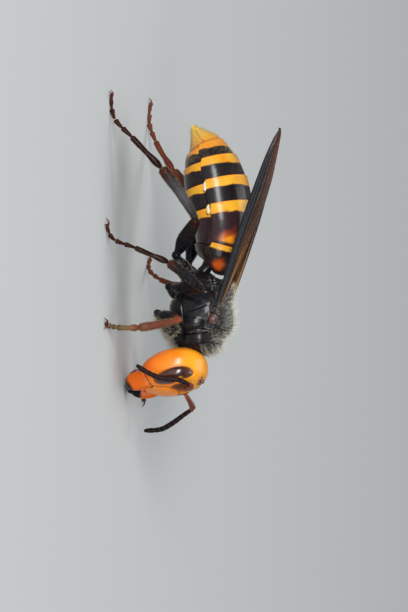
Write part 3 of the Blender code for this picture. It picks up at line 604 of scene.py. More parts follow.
def thinned(rows, keep):
    return tuple(row[keep] for row in rows)


def make_thorax_hair(skin):
    random = np.random.default_rng(5)
    places = sampled(skin, THORAX_TRIES, random)
    (x, y, z), outs = places[0].T, places[1]
    upper = step(11.4, 12.8, z) * step(0.0, 0.45, outs[:, 2] + 0.4 * outs[:, 0])
    beard = step(8.4, 7.2, z) * step(3.2, 4.6, x)
    seam = np.abs(x - (4.55 + 0.12 * np.maximum(13.3 - z, 0.0)))
    seam = (seam < 0.08) & (np.abs(y) > 3.4) & (z > 9.9) & (z < 12.4)
    front = step(5.9, 6.3, x) * step(11.5, 10.7, z) * (1 - beard)
    rim = step(5.8, 6.6, x) * step(10.8, 11.6, z)
    keep = random.random(len(x)) < 0.04 + 0.14 * upper + 0.4 * beard + 0.8 * front + 0.15 * rim + seam
    places = thinned(places, keep)
    upper, beard, seam, front, rim = thinned((upper, beard, seam, front, rim), keep)
    long = np.maximum(np.maximum(upper, beard), 0.7 * rim)
    length = 0.16 + 1.0 * long + 0.2 * seam + 0.2 * front * (1 - long)
    short_tone, long_tone, beard_tone = THORAX_HAIRS
    tint = layered(short_tone, (long_tone, long), (beard_tone, np.maximum(beard, seam)))
    dark = (random.random(len(tint)) < 0.12) & ~seam
    tint[dark | (front > 0.5)] *= 0.2
    lie = np.array([-1.0, 0.0, 0.15]) + 0.6 * places[1] * (1, 0, 0) + rim[:, None] * (2.2, 0.0, 0.2)
    half = 0.009 + 0.006 * front[:, None]
    add_coat("thorax_hair", [hairs(places, lie, length, half, 0.62 - 0.4 * long, tint, random)], "thorax")


def make_abdomen_hair(plates):
    random = np.random.default_rng(6)
    coats = []
    for number, skin in enumerate(plates):
        places = sampled(skin, PLATE_TRIES, random)
        down, across = places[2].T
        shown = (down > 0.2) & (down < 0.9) & (across > 0.06) & (across < 0.94)
        spots, outs, unwrap = thinned(places, shown)
        rear = step(-16.0, -24.0, spots[:, 0])
        places = spots, outs, beside(unwrap, number, len(plates))
        length, lean = 0.22 + 0.33 * rear, 0.72 - 0.2 * rear
        tint = mixed(*ABDOMEN_HAIRS, rear)
        coats.append(hairs(places, np.array([-1.0, 0.0, -0.25]), length, 0.008, lean, tint, random))
    add_coat("abdomen_hair", coats, "abdomen")


def make_leg_hair(legs):
    """Hair on coxae, thighs, shins and feet. Spurs have none, nor claws and pad, the last three skins."""
    random = np.random.default_rng(7)
    for side in SIDES:
        coats = []
        own = [(name, skins) for name, skins in legs.items() if name.endswith(side)]
        tiles = [(name, number, len(skins) - number, skin) for name, skins in own
                 for number, skin in enumerate(skins)]
        for tile, (name, number, left, skin) in enumerate(tiles):
            front = "front" in name
            if left <= 3 or number == 4 or (number == 5 and not front):
                continue
            count, length, lean = LEG_COATS.get(number, OTHER_LEG_COAT)
            if number == 0 and front:
                count, length, lean = FRONT_COXA_COAT
            spots, outs, unwrap = sampled(skin, count, random)
            dark_share = 0.85 if number == 2 or (number == 3 and "middle" in name) else 0.3
            dark = random.random(count)[:, None] < dark_share
            tint = np.where(dark, HAIR_DUSK, HAIR_CREAM if number == 0 else HAIR_GOLD)
            places = spots, outs, beside(unwrap, tile, len(tiles))
            coats.append(hairs(places, skin.points[-1] - skin.points[-2], length, 0.011, lean, tint, random))
        add_coat("leg_hair_" + side, coats, "leg")


def make_head_hair(skin):
    random = np.random.default_rng(8)
    places = sampled(skin, HEAD_TRIES, random)
    x, y, z = places[0].T
    face_plate = (x > 10.8) & (np.abs(y + 0.75) < 2.8) & (z < 8.2)
    places = thinned(places, ~face_plate)
    length = 0.1 + 0.14 * step(8.6, 7.6, places[0][:, 0])
    coat = hairs(places, np.array([0.3, 0.0, -1.0]), length, 0.006, 0.55, HAIR_ORANGE, random)
    add_coat("head_hair", [coat], "head")


# Materials

def node(tree, kind, inputs=(), **settings):
    """A shader node with its settings and inputs; an input is a number, a colour or another node's output."""
    made = tree.nodes.new("ShaderNode" + kind)
    for key, value in settings.items():
        setattr(made, key, value)
    for key, value in dict(inputs).items():
        if isinstance(value, bpy.types.NodeSocket):
            tree.links.new(value, made.inputs[key])
        else:
            made.inputs[key].default_value = value
    return made


def noise(tree, where, per_mm, detail=3.0):
    """Cloudy noise with that many features to a millimetre."""
    return node(tree, "TexNoise", {"Vector": where, "Scale": per_mm / MM, "Detail": detail}).outputs["Fac"]


def remapped(tree, value, low, high):
    """A 0 to 1 value spread from low to high."""
    return node(tree, "MapRange", {"Value": value, "To Min": low, "To Max": high}).outputs["Result"]


def shader_of(material):
    return material.node_tree.nodes["Principled BSDF"]


def painted(name, per_mm, spread):
    """A material in the skin's own colours, paler and darker by the cloud, and the place of its textures."""
    material = bpy.data.materials.new(name)
    material.use_nodes = True
    tree = material.node_tree
    where = node(tree, "TexCoord").outputs["Object"]
    paint = node(tree, "Attribute", attribute_name="paint").outputs["Color"]
    clouds = remapped(tree, noise(tree, where, per_mm), 1 - spread, 1 + spread)
    colour = node(tree, "Mix", {0: 1.0, 6: paint, 7: clouds}, data_type="RGBA", blend_type="MULTIPLY")
    tree.links.new(colour.outputs[2], shader_of(material).inputs["Base Color"])
    return material, where


def chitin(name, roughness, mottle, pits, pits_per_mm, bump_mm, coat, coat_roughness, shine):
    """Insect shell in the skin's own colours, mottled, with fine pits and uneven gloss."""
    material, where = painted(name, 0.8, mottle)
    tree, inputs = material.node_tree, shader_of(material).inputs
    gloss = remapped(tree, noise(tree, where, 2.5), roughness * 0.75, roughness * 1.3)
    tree.links.new(gloss, inputs["Roughness"])
    cells = node(tree, "TexVoronoi", {"Vector": where, "Scale": pits_per_mm / MM}).outputs["Distance"]
    dents = node(tree, "MapRange", {"Value": cells, "From Max": 0.35}, interpolation_type="SMOOTHSTEP")
    uneven = noise(tree, where, 3.0, 4.0)
    relief = node(tree, "Math", {0: dents.outputs[0], 1: pits, 2: uneven}, operation="MULTIPLY_ADD")
    bump = node(tree, "Bump", {"Height": relief.outputs[0], "Distance": bump_mm * MM, "Strength": 0.8})
    tree.links.new(bump.outputs[0], inputs["Normal"])
    inputs["Coat Weight"].default_value = coat
    inputs["Coat Roughness"].default_value = coat_roughness
    inputs["Specular IOR Level"].default_value = shine
    return material


def make_materials():
    """Every material of the hornet by its name. The film of the wings is see-through."""
    made = {name: chitin(name, *values) for name, values in SHELLS.items()}
    shader_of(made["head_shell"]).inputs["Coat IOR"].default_value = HEAD_COAT_IOR
    shader_of(made["wing_film"]).inputs["Alpha"].default_value = FILM_ALPHA
    made["hair"] = painted("hair", 1.6, 0.3)[0]
    shader_of(made["hair"]).inputs["Roughness"].default_value = 0.42
    return made


# Head

def turned_with_head(points):
    """Where points of the straight head go when the face is turned."""
    turn = np.array(Matrix.Rotation(HEAD_YAW, 3, "Z"))
    return HEAD_PIVOT + (np.asarray(points, float) - HEAD_PIVOT) @ turn.T


def turn_skins(skins):
    for skin in skins:
        skin.points = turned_with_head(skin.points)


def head_point(height, angle):
    """Points of the head's skin at a height, at an angle in degrees from the face round to the back."""
    height, angle = np.broadcast_arrays(np.asarray(height, float), np.asarray(angle, float))
    level = np.clip((height - HEAD_MIDDLE) / HEAD_HALF, -1.0, 1.0)
    share = np.arccos(-level) / math.pi
    closing = np.sin(math.pi * share) ** HEAD_CLOSING
    width, front, back = np.moveaxis(smooth(HEAD_SIZES, share) * closing[..., None] + 1e-6, -1, 0)
    c, s = np.cos(np.radians(angle)), np.sin(np.radians(angle))
    depth = np.where(c > 0, front, back)
    reach = ((np.abs(c) / depth) ** HEAD_CORNER + (np.abs(s) / width) ** HEAD_CORNER) ** (-1 / HEAD_CORNER)
    axis = HEAD_AXIS_X[0] + (HEAD_AXIS_X[1] - HEAD_AXIS_X[0]) * (level + 1) / 2
    return np.stack([axis + reach * c, reach * s, height], -1)


def from_face_plate(y, z):
    """Distance from the middle of the face plate, which ends at 1."""
    across, up = np.abs(y) / CLYPEUS_HALF_WIDTH, np.abs(z - CLYPEUS_MIDDLE) / CLYPEUS_HALF_HEIGHT
    return (across ** CLYPEUS_CORNER + up ** CLYPEUS_CORNER) ** (1 / CLYPEUS_CORNER)


def from_socket(y, z, sign):
    return np.hypot(y - sign * SOCKET[1], z - SOCKET[2])


def eye_rings(sign, steps=56, around=40):
    """Sections of the kidney-shaped eye on the straight head, notched in front where the feelers stand, with
    its middle line and the half width along that."""
    share = np.linspace(0, 1, steps + 1)
    height, angle, half = smooth(EYE_LINE, share).T
    level = head_point(height, sign * (angle + 4)) - head_point(height, sign * (angle - 4))
    rise = head_point(height + 0.2, sign * angle) - head_point(height - 0.2, sign * angle)
    out = unit(np.cross(level, rise) * sign)
    spot = head_point(height, sign * angle) - out * EYE_SUNK
    across = unit(np.cross(unit(np.gradient(spot, axis=0)), out)) * sign
    ends = np.sqrt(np.maximum(1 - np.abs(2 * share - 1) ** 5, 0.004))[:, None]
    turn = full_turn(around)
    notch = 0.5 * bell(share - 0.66, 0.1)[:, None] * (np.cos(turn) < 0)
    wide = half[:, None] * ends * (1 - notch) * np.cos(turn)
    deep = EYE_DEPTH * ends * (1 - 0.25 * notch) * np.sin(turn)
    return sections(spot, across, out, wide, deep), spot, half * ends[:, 0]


def sculpt_head(points):
    """Height of the head's relief at each point of the straight head."""
    x, y, z = points.T
    face = step(9.8, 11.2, x)
    plate_edge = from_face_plate(y, z)
    relief = face * (0.06 * step(1.1, 0.86, plate_edge) - 0.15 * bell(plate_edge - 1.1, 0.05))
    for side in (-1, 1):
        relief += face * 0.3 * bell(y - side * 0.8, 0.45) * bell(z - 3.35, 0.4)
        socket = from_socket(y, z, side)
        relief += face * (0.14 * bell(socket - 0.56, 0.14) - 0.3 * step(0.46, 0.2, socket))
        cheek = np.hypot(y - side * 4.0, (z - 4.6) * 0.8)
        relief += 0.12 * bell(cheek, 1.3) * step(8.0, 10.0, x)
    relief += face * 0.22 * step(0.75, 0.3, np.abs(y)) * step(7.3, 7.7, z) * step(9.2, 8.2, z)
    relief -= 0.07 * bell(y, 0.1) * step(8.6, 9.2, z) * step(10.9, 10.5, z) * face
    relief -= 0.9 * bell(y, 2.6) * bell(z - 7.8, 2.4) * step(8.2, 7.2, x)
    relief -= 0.05 * bell(np.abs(y) - 2.7, 0.12) * step(8.3, 7.4, x)
    return relief


def nearest(points, others):
    """How far each point is from the nearest of the others."""
    tree = KDTree(len(others))
    for number, other in enumerate(others):
        tree.insert(other, number)
    tree.balance()
    return np.array([tree.find(point)[2] for point in points])


def make_head(jaws):
    rows, columns = 200, 280
    level = np.cos(np.linspace(0.02, math.pi - 0.02, rows))[:, None]
    skin = rod(head_point(HEAD_MIDDLE + level * HEAD_HALF, np.degrees(full_turn(columns))))
    at = skin.points
    x, y, z = at.T
    relief = sculpt_head(at)
    eyes = {sign: eye_rings(sign) for sign in SIDES.values()}
    paint = layered(
        AMBER,
        (ORANGE, step(10.4, 7.6, z + 0.35 * ripple(at, 3.0, 1))),
        (DEEP_ORANGE, 0.9 * step(7.2, 4.0, z + 0.4 * ripple(at, 2.5, 2)) * step(12.4, 11.4, x)),
        (FACE_ORANGE, 0.9 * step(10.2, 11.6, x) * step(2.9, 2.4, np.abs(y)) * step(8.2, 7.4, z)),
        (RUST * 0.5, 0.8 * step(8.2, 6.6, x + 0.25 * ripple(at, 2.0, 4))),
    )
    for sign, (_, line, half) in eyes.items():
        gap = (np.linalg.norm(at[:, None] - line[None, ::4], axis=2) - half[None, ::4]).min(1)
        relief -= 0.14 * bell(gap - 0.12, 0.1)
        # painted shadow of the scape: an oval beside each socket
        scape_shadow = np.hypot((y - sign * 2.25) / 0.95, (z - 8.35) / 1.25) + 0.2 * ripple(at, 1.3, 5)
        paint = layered(
            paint,
            # painted shade: a dark rim on the head where each eye meets it
            (BROWN_BLACK, 0.9 * bell(gap - 0.02, 0.13)),
            # painted shade: dark in and round each feeler's socket pit
            (BROWN_BLACK, 0.85 * step(0.6, 0.4, from_socket(y, z, sign)) * (x > 11)),
            # painted shadow of the scape, darkest at its middle
            (mixed(BROWN_BLACK, RED_BROWN, step(0.5, 0.9, scape_shadow)), 0.9 * step(1.1, 0.7, scape_shadow) * (x > 10)),
        )
    paint = mixed(paint, RED_BROWN, 0.7 * bell(from_face_plate(y, z) - 1.1, 0.05) * (x > 11))
    for ocellus in OCELLI:
        near = np.linalg.norm(at - np.array(ocellus), axis=1)
        paint = mixed(paint, BROWN_BLACK, 0.8 * bell(near - 0.1, 0.42))
    skin.paint = paint
    skin.raised(relief)
    turn_skins([skin])
    # painted shade: the head darkened where it comes close to the jaws
    low = np.flatnonzero((skin.points[:, 2] < 6.0) & (skin.points[:, 0] > 9.0))
    gap = nearest(skin.points[low], jaws)
    skin.paint[low] = mixed(skin.paint[low], BROWN_BLACK, 0.9 * step(0.26, 0.1, gap))
    add_piece("head_capsule", [skin], "head_shell", "head", "head")
    lenses = [egg(ocellus, 0.3, 0.3, 0.3, 0.3, 0.3, 1.0, 24, 14, LENS_BROWN) for ocellus in OCELLI]
    turn_skins(lenses)
    add_piece("ocelli", lenses, "eye_facets", "eye")
    for side, sign in SIDES.items():
        eye = rod(turned_with_head(eyes[sign][0]))
        eye.paint = mixed(*EYE_TONES, step(-0.6, 0.9, ripple(eye.points, 1.6, 3)))
        add_piece(f"eye_{side}_lens", [eye], "eye_facets", "eye", "eye_" + side)
    return skin


def make_mandibles():
    """Jaws, tongue and palps. Returns the points of both jaws."""
    def paint(share, turn):
        body = 0.78 * mixed(ORANGE, DEEP_ORANGE, step(0.1, 0.4, share + 0.06 * np.sin(turn)))
        return mixed(body, BLACK, step(0.6, 0.72, share + 0.05 * np.sin(turn * 2)))

    def shape(share, turn):
        return 1 - 0.09 * bell(np.cos(turn) - 0.2, 0.12) * step(0.15, 0.3, share)

    jaws = []
    ahead = (1.0, 0.0, 0.0)
    for side, sign in SIDES.items():
        line = turned_with_head(mirrored(JAW_LINE, sign))
        skins = [limb(line, JAW_SIZES, 80, 48, ahead, squeeze=0.6, paint=paint, shape=shape)]
        jaws.append(skins[0].points)
        for x, y, z, size in JAW_TEETH:
            tooth = turned_with_head(mirrored([(x, y + 0.45, z + 0.3), (x + 0.1, y - 0.55, z - 0.2)], sign))
            skins.append(limb(tooth, [(0.0, size), (0.6, size * 0.75), (1.0, 0.08)], 10, 14, ahead))
        add_piece(f"mandible_{side}_shell", skins, "jaw_shell", "jaw", "mandible_" + side)
    skins = [egg((11.0, 0, 3.0), 0.9, 0.8, 1.0, 0.9, 1.1, 0.9, 32, 20, RED_BROWN)]
    for sign in SIDES.values():
        skins.append(limb(mirrored(PALP_LINE, sign), PALP_SIZES, 30, 12, ahead, paint=RED_BROWN))
    turn_skins(skins)
    add_piece("mouthparts", skins, "jaw_shell", "jaw")
    return np.concatenate(jaws)


def scape_paint(share, turn):
    # Rust-red at the root; darker towards the elbow and on one side as painted shade.
    return mixed(RUST * 0.6, RED_BROWN * 0.5, 0.85 * step(0.0, 0.35, share + 0.2 * np.cos(turn)))


def whip_paint(share, turn):
    local = share * WHIP_JOINTS - np.floor(share * WHIP_JOINTS)
    dark = mixed(BLACK, BROWN_BLACK, step(0.1, 0.9, 0.5 + 0.5 * np.cos(turn)))
    return mixed(dark, RED_BROWN * 0.6, 0.6 * bell(local, 0.1))


def whip_shape(share, turn):
    """Joints, each a little wider at its far end."""
    place = np.clip(share * WHIP_JOINTS, 0, WHIP_JOINTS - 0.001)
    local = place - np.floor(place)
    waist = 1 - 0.2 * bell(local, 0.07) - 0.16 * bell(local - 1, 0.05)
    return waist * (0.97 + 0.05 * local)


def make_antennae():
    for side, points in ANTENNA_LINES.items():
        root = turned_with_head(mirrored(SOCKET, SIDES[side]) - (0.1, 0, 0))
        elbow, first = np.array(points[:2])
        middle = (root + elbow) / 2 + (0.12, 0.0, 0.14)
        scape = limb([root, middle, elbow], SCAPE_SIZES, 60, 24, paint=scape_paint)
        add_piece(f"feeler_{side}_scape", [scape], "scape_shell", "scape", f"antenna_{side}_scape")
        toward = unit(first - elbow)
        bead = elbow + toward * 0.12
        pedicel = limb([elbow, bead + toward * 0.45], PEDICEL_SIZES, 16, 20, paint=RED_BROWN)
        whip = limb([bead, *points[1:]], WHIP_SIZES, 200, 20, paint=whip_paint, shape=whip_shape)
        skins = [pedicel, whip]
        add_piece(f"feeler_{side}_whip", skins, "feeler_shell", "feeler", f"antenna_{side}_flagellum")


# Thorax

def sculpt_thorax(points):
    """Height of the thorax's seams at each point, and how deep in a seam each is, from 0 to 1."""
    x, y, z = points.T
    wide = np.abs(y)
    low = step(13.6, 12.4, z)
    collar = 5.6 - 0.07 * (y * y * (1 - low) + 14.4 * low) + 0.12 * np.maximum(13.3 - z, 0.0)
    seams = [  # distance from it, width, depth, where it runs
        (x - collar, 0.13, 0.22, step(7.0, 7.8, z)),
        (x - (0.3 - 0.06 * y * y), 0.11, 0.2, step(12.6, 13.2, z) * step(3.0, 2.4, wide)),
        (x - (-2.3 + 0.1 * y * y), 0.11, 0.2, step(11.8, 12.6, z) * step(3.1, 2.5, wide)),
        (x - (-3.1 + 0.12 * y * y), 0.11, 0.16, step(10.6, 11.4, z) * step(2.9, 2.2, wide)),
        (x - (-1.3 + 0.2 * (z - 9.0)), 0.12, 0.2,
         step(1.8, 2.4, wide) * step(12.8, 12.0, z) * step(6.6, 7.2, z)),
        (x - (1.6 - 0.35 * (z - 10.5)), 0.1, 0.1,
         step(3.0, 3.6, wide) * step(12.4, 11.6, z) * step(8.2, 9.0, z)),
        (z - (8.6 + 0.15 * (x - 1.0)), 0.12, 0.12,
         step(3.0, 3.5, wide) * step(4.6, 4.0, x) * step(-1.2, -0.5, x)),
        (y, 0.09, 0.07, step(2.4, 3.0, x) * step(14.0, 14.6, z)),
        (wide - 1.75, 0.09, 0.05, step(0.9, 1.4, x) * step(3.6, 3.0, x) * step(13.6, 14.2, z)),
        (y, 0.1, 0.09, step(0.1, -0.2, x) * step(-2.2, -1.8, x) * step(13.4, 14.0, z)),
        (y, 0.14, 0.12, step(-2.9, -3.3, x)),
    ]
    relief, depth = np.zeros(len(points)), np.zeros(len(points))
    for distance, width, deep, mask in seams:
        here = bell(distance, width) * mask
        relief -= deep * here
        relief += deep * 0.25 * bell(np.abs(distance) - 2.4 * width, width) * mask
        depth = np.maximum(depth, here * min(deep / 0.2, 1.0))
    for middle_x, middle_z, size, high in THORAX_BULGES:
        relief += high * bell(np.hypot(x - middle_x, z - middle_z), size) * step(2.6, 3.4, wide)
    relief += 0.05 * ripple(points, 3.4, 11) + 0.012 * ripple(points, 0.8, 12)
    return relief, depth


def make_thorax():
    skin = fused([egg(*blob) for blob in THORAX_BLOBS], THORAX_VOXEL, THORAX_ROUNDS)
    relief, depth = sculpt_thorax(skin.points)
    skin.raised(relief)
    x, y, z = skin.points.T
    skin.unwrap = np.column_stack([(x + 5.0) / 14.0, (np.arctan2(y, z - 10.5) / math.pi + 1) / 2])
    brown = 0.35 + 0.4 * ripple(skin.points, 2.0, 13)
    # painted shade: darker the deeper a point lies in a seam
    skin.paint = layered(BLACK * 0.8, (BROWN_BLACK, brown), (BLACK * 0.5, depth))
    add_piece("thorax_shell", [skin], "thorax_shell", "thorax", "prothorax", "mesothorax", "propodeum")
    petiole, neck = limb(WAIST_LINE, WAIST_SIZES, 24, 40), limb(NECK_LINE, NECK_SIZES, 12, 32)
    add_piece("waist", [petiole, neck], "thorax_shell", "thorax", "petiole")
    for side, sign in SIDES.items():
        cap = egg(mirrored(TEGULA_MIDDLE, sign), 0.78, 0.95, 0.62, 0.66, 0.72, 0.88, 72, 48)
        along, _, up = (cap.points - TEGULA_MIDDLE).T
        rim = np.hypot(up / 0.7, along / 0.85)
        cap.paint = mixed(*TEGULA_TONES, step(0.25, 0.85, rim + 0.25 * ripple(cap.points, 0.8, 14)))
        ridge = 0.04 * bell(rim - 0.84, 0.1) - 0.05 * bell(rim - 0.62, 0.14)
        cap.raised(ridge + 0.05 * ripple(cap.points, 0.6, 15))
        add_piece(f"tegula_{side}_cap", [cap], "tegula_shell", "tegula", "tegula_" + side)
        hinge = []
        for *middle, size, red in HINGE_KNOBS:
            reach = size, size * 1.2, size * 0.7, size * 0.8, size * 0.7
            knob = egg(mirrored(middle, sign), *reach, 0.85, 32, 20)
            knob.raised(0.05 * ripple(knob.points, 0.6, 16))
            knob.paint = mixed(BROWN_BLACK, RED_BROWN, red + 0.15 * ripple(knob.points, 0.5, 17))
            hinge.append(knob)
        add_piece(f"wing_hinge_{side}", hinge, "tegula_shell", "thorax")
    return skin


# Abdomen

def gaster_point(run, turn, lift):
    """Points of the abdomen's skin at a distance along it and an angle from the top, raised by lift."""
    run, turn, lift = np.broadcast_arrays(run, turn, lift)
    x, z, high, wide = np.moveaxis(smooth(GASTER, run), -1, 0)
    ahead = smooth(GASTER, np.minimum(run + 0.4, GASTER[-1][0])) - smooth(GASTER, np.maximum(run - 0.4, 0.0))
    ahead = unit(ahead[..., :2])
    c, s = np.cos(np.radians(turn)), np.sin(np.radians(turn))
    rise = (high * np.where(c > 0, 1.06, 0.94) + lift) * c - 0.06 * high
    return np.stack([x + ahead[..., 1] * rise, (wide + lift) * s, z - ahead[..., 0] * rise], -1)


def plate(number, middle_turn, edge, low, rim_back=0.0):
    """One back or belly plate of the abdomen, tucked under the plate before it and rolled in at its rim and
    edges. edge: degrees from its middle to its side edge. low: how far it lies under the full skin."""
    first, last = GASTER_JOINTS[number - 1], GASTER_JOINTS[number] - rim_back
    tuck = 0.0 if number == 1 else PLATE_TUCK
    rows, columns = 64, 150
    along = np.linspace(first - tuck, last, rows)
    if number == 1:
        along = first + (last - first) * np.linspace(0, 1, rows) ** 1.6
    share = np.clip((along - first) / (last - first), 0, 1)
    lift = PLATE_SWELL * (share - 0.5) - low - PLATE_SINK * step(first, first - tuck - 1e-3, along)
    lift = lift + 0.03 * bell(along - last + 0.08, 0.12) * (number < 6)
    if number < 6:
        along = np.concatenate([along, [last + back for back, _ in RIM_ROLL]])
        lift = np.concatenate([lift, [lift[-1] + drop for _, drop in RIM_ROLL]])
    rolled, drops = np.array(EDGE_ROLL).T
    across = np.concatenate([-rolled[::-1], np.linspace(-1, 1, columns), rolled])
    sunk = np.concatenate([drops[::-1], np.zeros(columns), drops])
    reach = edge * (1 - 0.05 * step(0.75, 1.0, np.clip((along - first) / (last - first), 0, 1)))
    turn = middle_turn + reach[:, None] * across[None, :]
    points = gaster_point(along[:, None], turn, lift[:, None] + sunk[None, :])
    size = len(along), len(across)
    skin = Skin(points, grid_quads(*size, False), unwrap=grid_unwrap(*size))
    outward = gaster_point(along[:, None], turn, 0.0).reshape(-1, 3)
    outward -= smooth(GASTER, np.repeat(along, len(across)))[:, [0, 0, 1]] * (1, 0, 1)
    if (skin.normals() * outward).sum() < 0:
        skin.quads = skin.quads[:, ::-1]
    behind = np.repeat(last - along, len(across))
    angle = np.abs((turn.ravel() + 180) % 360 - 180)
    skin.paint = band_paint(skin.points, number, behind, angle, last - first)
    return skin


def band_paint(points, number, behind, angle, length):
    """Dark plate with its yellow rim, wavy at the front. behind: distance to the rear rim. angle: degrees
    from the top."""
    if number == 6:
        tip = mixed(LEMON, YELLOW, step(0.4, 0.95, behind / length + 0.1 * ripple(points, 1.0, 46)))
        crease = 0.5 * bell(angle - 76 + 10 * ripple(points, 1.2, 49), 5)
        crease = crease + 0.3 * step(0.4, 0.9, ripple(points, 0.7, 50))
        return layered(tip, (RED_BROWN, crease * step(0.2, 0.6, behind)),
                       (RED_BROWN, 0.6 * step(length - 0.35, length - 0.1, behind)))
    width = BAND_WIDTHS[number - 1]
    width = width * (1 + 0.12 * step(60, 10, angle) - 0.2 * step(95, 125, angle) * step(180, 150, angle))
    if number == 1:
        width = width - 1.2 * step(93, 105, angle)
    wave = 0.1 * ripple(points, 1.6, 20 + number) + 0.035 * ripple(points, 0.45, 30 + number)
    forward = step(0.2, 0.9, behind / length)
    if number > 2:
        dark = mixed(BLACK * 1.2, BROWN_BLACK, forward * 0.7)
    else:
        dark = mixed(BROWN_BLACK * 0.75, BROWN_BLACK * 1.6, forward)
    if number == 2:
        dark = mixed(dark, PLUM_BLACK, 0.7)
    bright = 0.82 * mixed(YELLOW, LEMON, 0.3 + 0.4 * ripple(points, 2.2, 40 + number))
    bright = mixed(bright, ORANGE, 0.5 * step(0.25, 0.0, behind))
    if number == 5:
        bright = mixed(bright, ORANGE, 0.45)
    edge = behind + wave - width
    paint = layered(bright, (RED_BROWN, step(-0.1, 0.03, edge)), (dark, step(-0.02, 0.1, edge)))
    if number == 2:
        reach = RUST_WIDTH * step(98, 58, angle) + 0.3 * ripple(points, 1.4, 47)
        front = length - behind
        rust = mixed(mixed(ORANGE, AMBER, 0.6), RUST * 0.8, step(0.5, 1.1, front / np.maximum(reach, 0.1)))
        shown = 0.85 * step(0.9, -0.7, front - reach) * step(0.25, 0.6, front) * step(94, 70, angle)
        paint = mixed(paint, rust, shown)
    if number == 1:
        spot = np.hypot((angle - 60) / 22, (behind - 2.0) / 0.65)
        glow = step(1.35, 0.35, spot + 0.15 * ripple(points, 0.9, 48))
        paint = mixed(paint, mixed(RUST * 0.3, RED_ORANGE * 0.65, glow), glow)
    return paint


def make_abdomen():
    """The six segments, the front end and the pale patches of the sides. Returns the plates."""
    skins = []
    for number in range(1, 7):
        belly_edge = 180.0 - PLATE_EDGE + BELLY_LAP
        plates = [plate(number, 0.0, PLATE_EDGE, 0.0),
                  plate(number, 180.0, belly_edge, BELLY_LOW, BELLY_BACK if number < 6 else 0.0)]
        add_piece(f"segment_{number}", plates, "abdomen_shell", "abdomen", f"abdomen_{number}")
        skins += plates
    front_end = np.array([[0.0], [0.02]]), np.arange(0, 360, 6.0)[None, :], np.array([[-0.9], [0.0]])
    soft = [rod(gaster_point(*front_end))]
    for sign in SIDES.values():
        for run, turn in SIDE_PATCHES:
            pad = egg((0, 0, 0), 0.85, 0.75, 0.16, 0.34, 0.3, 0.95, 64, 40)
            rim = np.hypot(pad.points[:, 0] / 0.8, pad.points[:, 2] / 0.32)
            pad.paint = mixed(PALE_SKIN, RED_BROWN, step(0.6, 1.05, rim + 0.25 * ripple(pad.points, 0.5, 18)))
            pad.points = pad.points + mirrored(gaster_point(run, turn, -0.02), sign)
            soft.append(pad.raised(0.05 * ripple(pad.points, 0.45, 19) - 0.03))
    add_piece("side_membranes", soft, "abdomen_shell", "abdomen")
    return skins


# Legs

def leg_paint(kind, section):
    """Colours of one length of a leg, as paint(share, turn)."""
    def paint(share, turn):
        plain = mixed(BLACK, BROWN_BLACK * 0.8, step(0.2, 1.0, share))
        if section == "femur":
            knee = RED_BROWN * 1.3 if kind == "front" else RED_BROWN * 0.12
            return mixed(plain, knee, step(0.78, 0.95, share))
        if section == "tibia" and kind == "front":
            return mixed(RED_BROWN * 1.3, ROSE_BROWN, step(0.02, 0.3, share))
        if section == "tibia":
            # painted sheen: a paler band down the middle of each middle and hind shin
            middle = SHEEN_SLATE if kind == "hind" else BLACK * 2
            return layered(plain, (middle, bell(share - 0.45, 0.3)),
                           (RED_BROWN * 0.4, 0.6 * step(0.75, 1.0, share)))
        if kind == "front":
            return mixed(RED_BROWN, TAN, step(0.02, 0.3, share))
        return mixed(RED_BROWN * 0.08, RED_BROWN * 0.22, step(0.3, 0.9, share))
    return paint


def keel(share, turn):
    return 1 + 0.05 * bell(np.cos(turn) + 1, 0.25) * step(0.1, 0.3, share)


def ribbed(share, turn):
    ridge = 0.06 * bell(np.abs(np.sin(turn)) - 0.75, 0.16) + 0.05 * bell(np.cos(turn) - 1, 0.1)
    return 1 + ridge * step(0.1, 0.25, share)


def make_leg(name, points):
    """One leg: coxa, ring, thigh, shin, spurs, foot. Returns its skins in that order."""
    kind = name.split("_")[0]
    coxa_half, femur_half, tibia_half, foot_half = LEG_SIZES[kind]
    hip, coxa_end, knee, ankle, first_joint, claws = np.array(points)
    toward, along = unit(knee - coxa_end), unit(ankle - knee)
    bow = (knee + ankle) / 2 + (0, 0, 0.25)
    skins = [
        limb([hip, coxa_end], COXA_SIZES, 30, 32, size=coxa_half),
        limb([coxa_end - toward * 0.35, coxa_end + toward * 0.75], RING_SIZES, 20, 28, size=femur_half),
        limb([coxa_end + toward * 0.2, knee + toward * 0.12], FEMUR_SIZES, 56, 32, size=femur_half,
             squeeze=0.82, paint=leg_paint(kind, "femur"), shape=keel),
        limb([knee, bow, ankle], TIBIA_SIZES, 70, 32, size=tibia_half, squeeze=0.85,
             paint=leg_paint(kind, "tibia"), shape=ribbed),
    ]
    lean = unit(np.cross(along, (0, 0, 1)))
    for spread in ((0.35,) if kind == "front" else (0.5, -0.2)):
        root = ankle - along * 0.4
        tip = ankle + along * 1.3 + lean * spread - (0, 0, 0.65)
        middle = (root + tip) / 2 + lean * 0.1 * np.sign(spread)
        skins.append(limb([root, middle, tip], SPUR_SIZES, 16, 10, paint=TAN * 0.7))
    skins += foot_skins(kind, ankle, first_joint, claws, foot_half)
    if kind != "front":
        for skin in skins[3:]:
            # painted light shining through the legs: the inner faces of middle and hind legs turn red-brown
            shine_through = step(-0.2, 0.6, -np.sign(hip[1]) * skin.normals()[:, 1])
            skin.paint = mixed(skin.paint, RED_BROWN, 0.65 * shine_through)
    nodes = [f"{piece}_{name}" for piece in ("coxa", "femur", "tibia", "foot")]
    add_piece("leg_" + name, skins, "leg_shell", "leg", *nodes)
    return skins


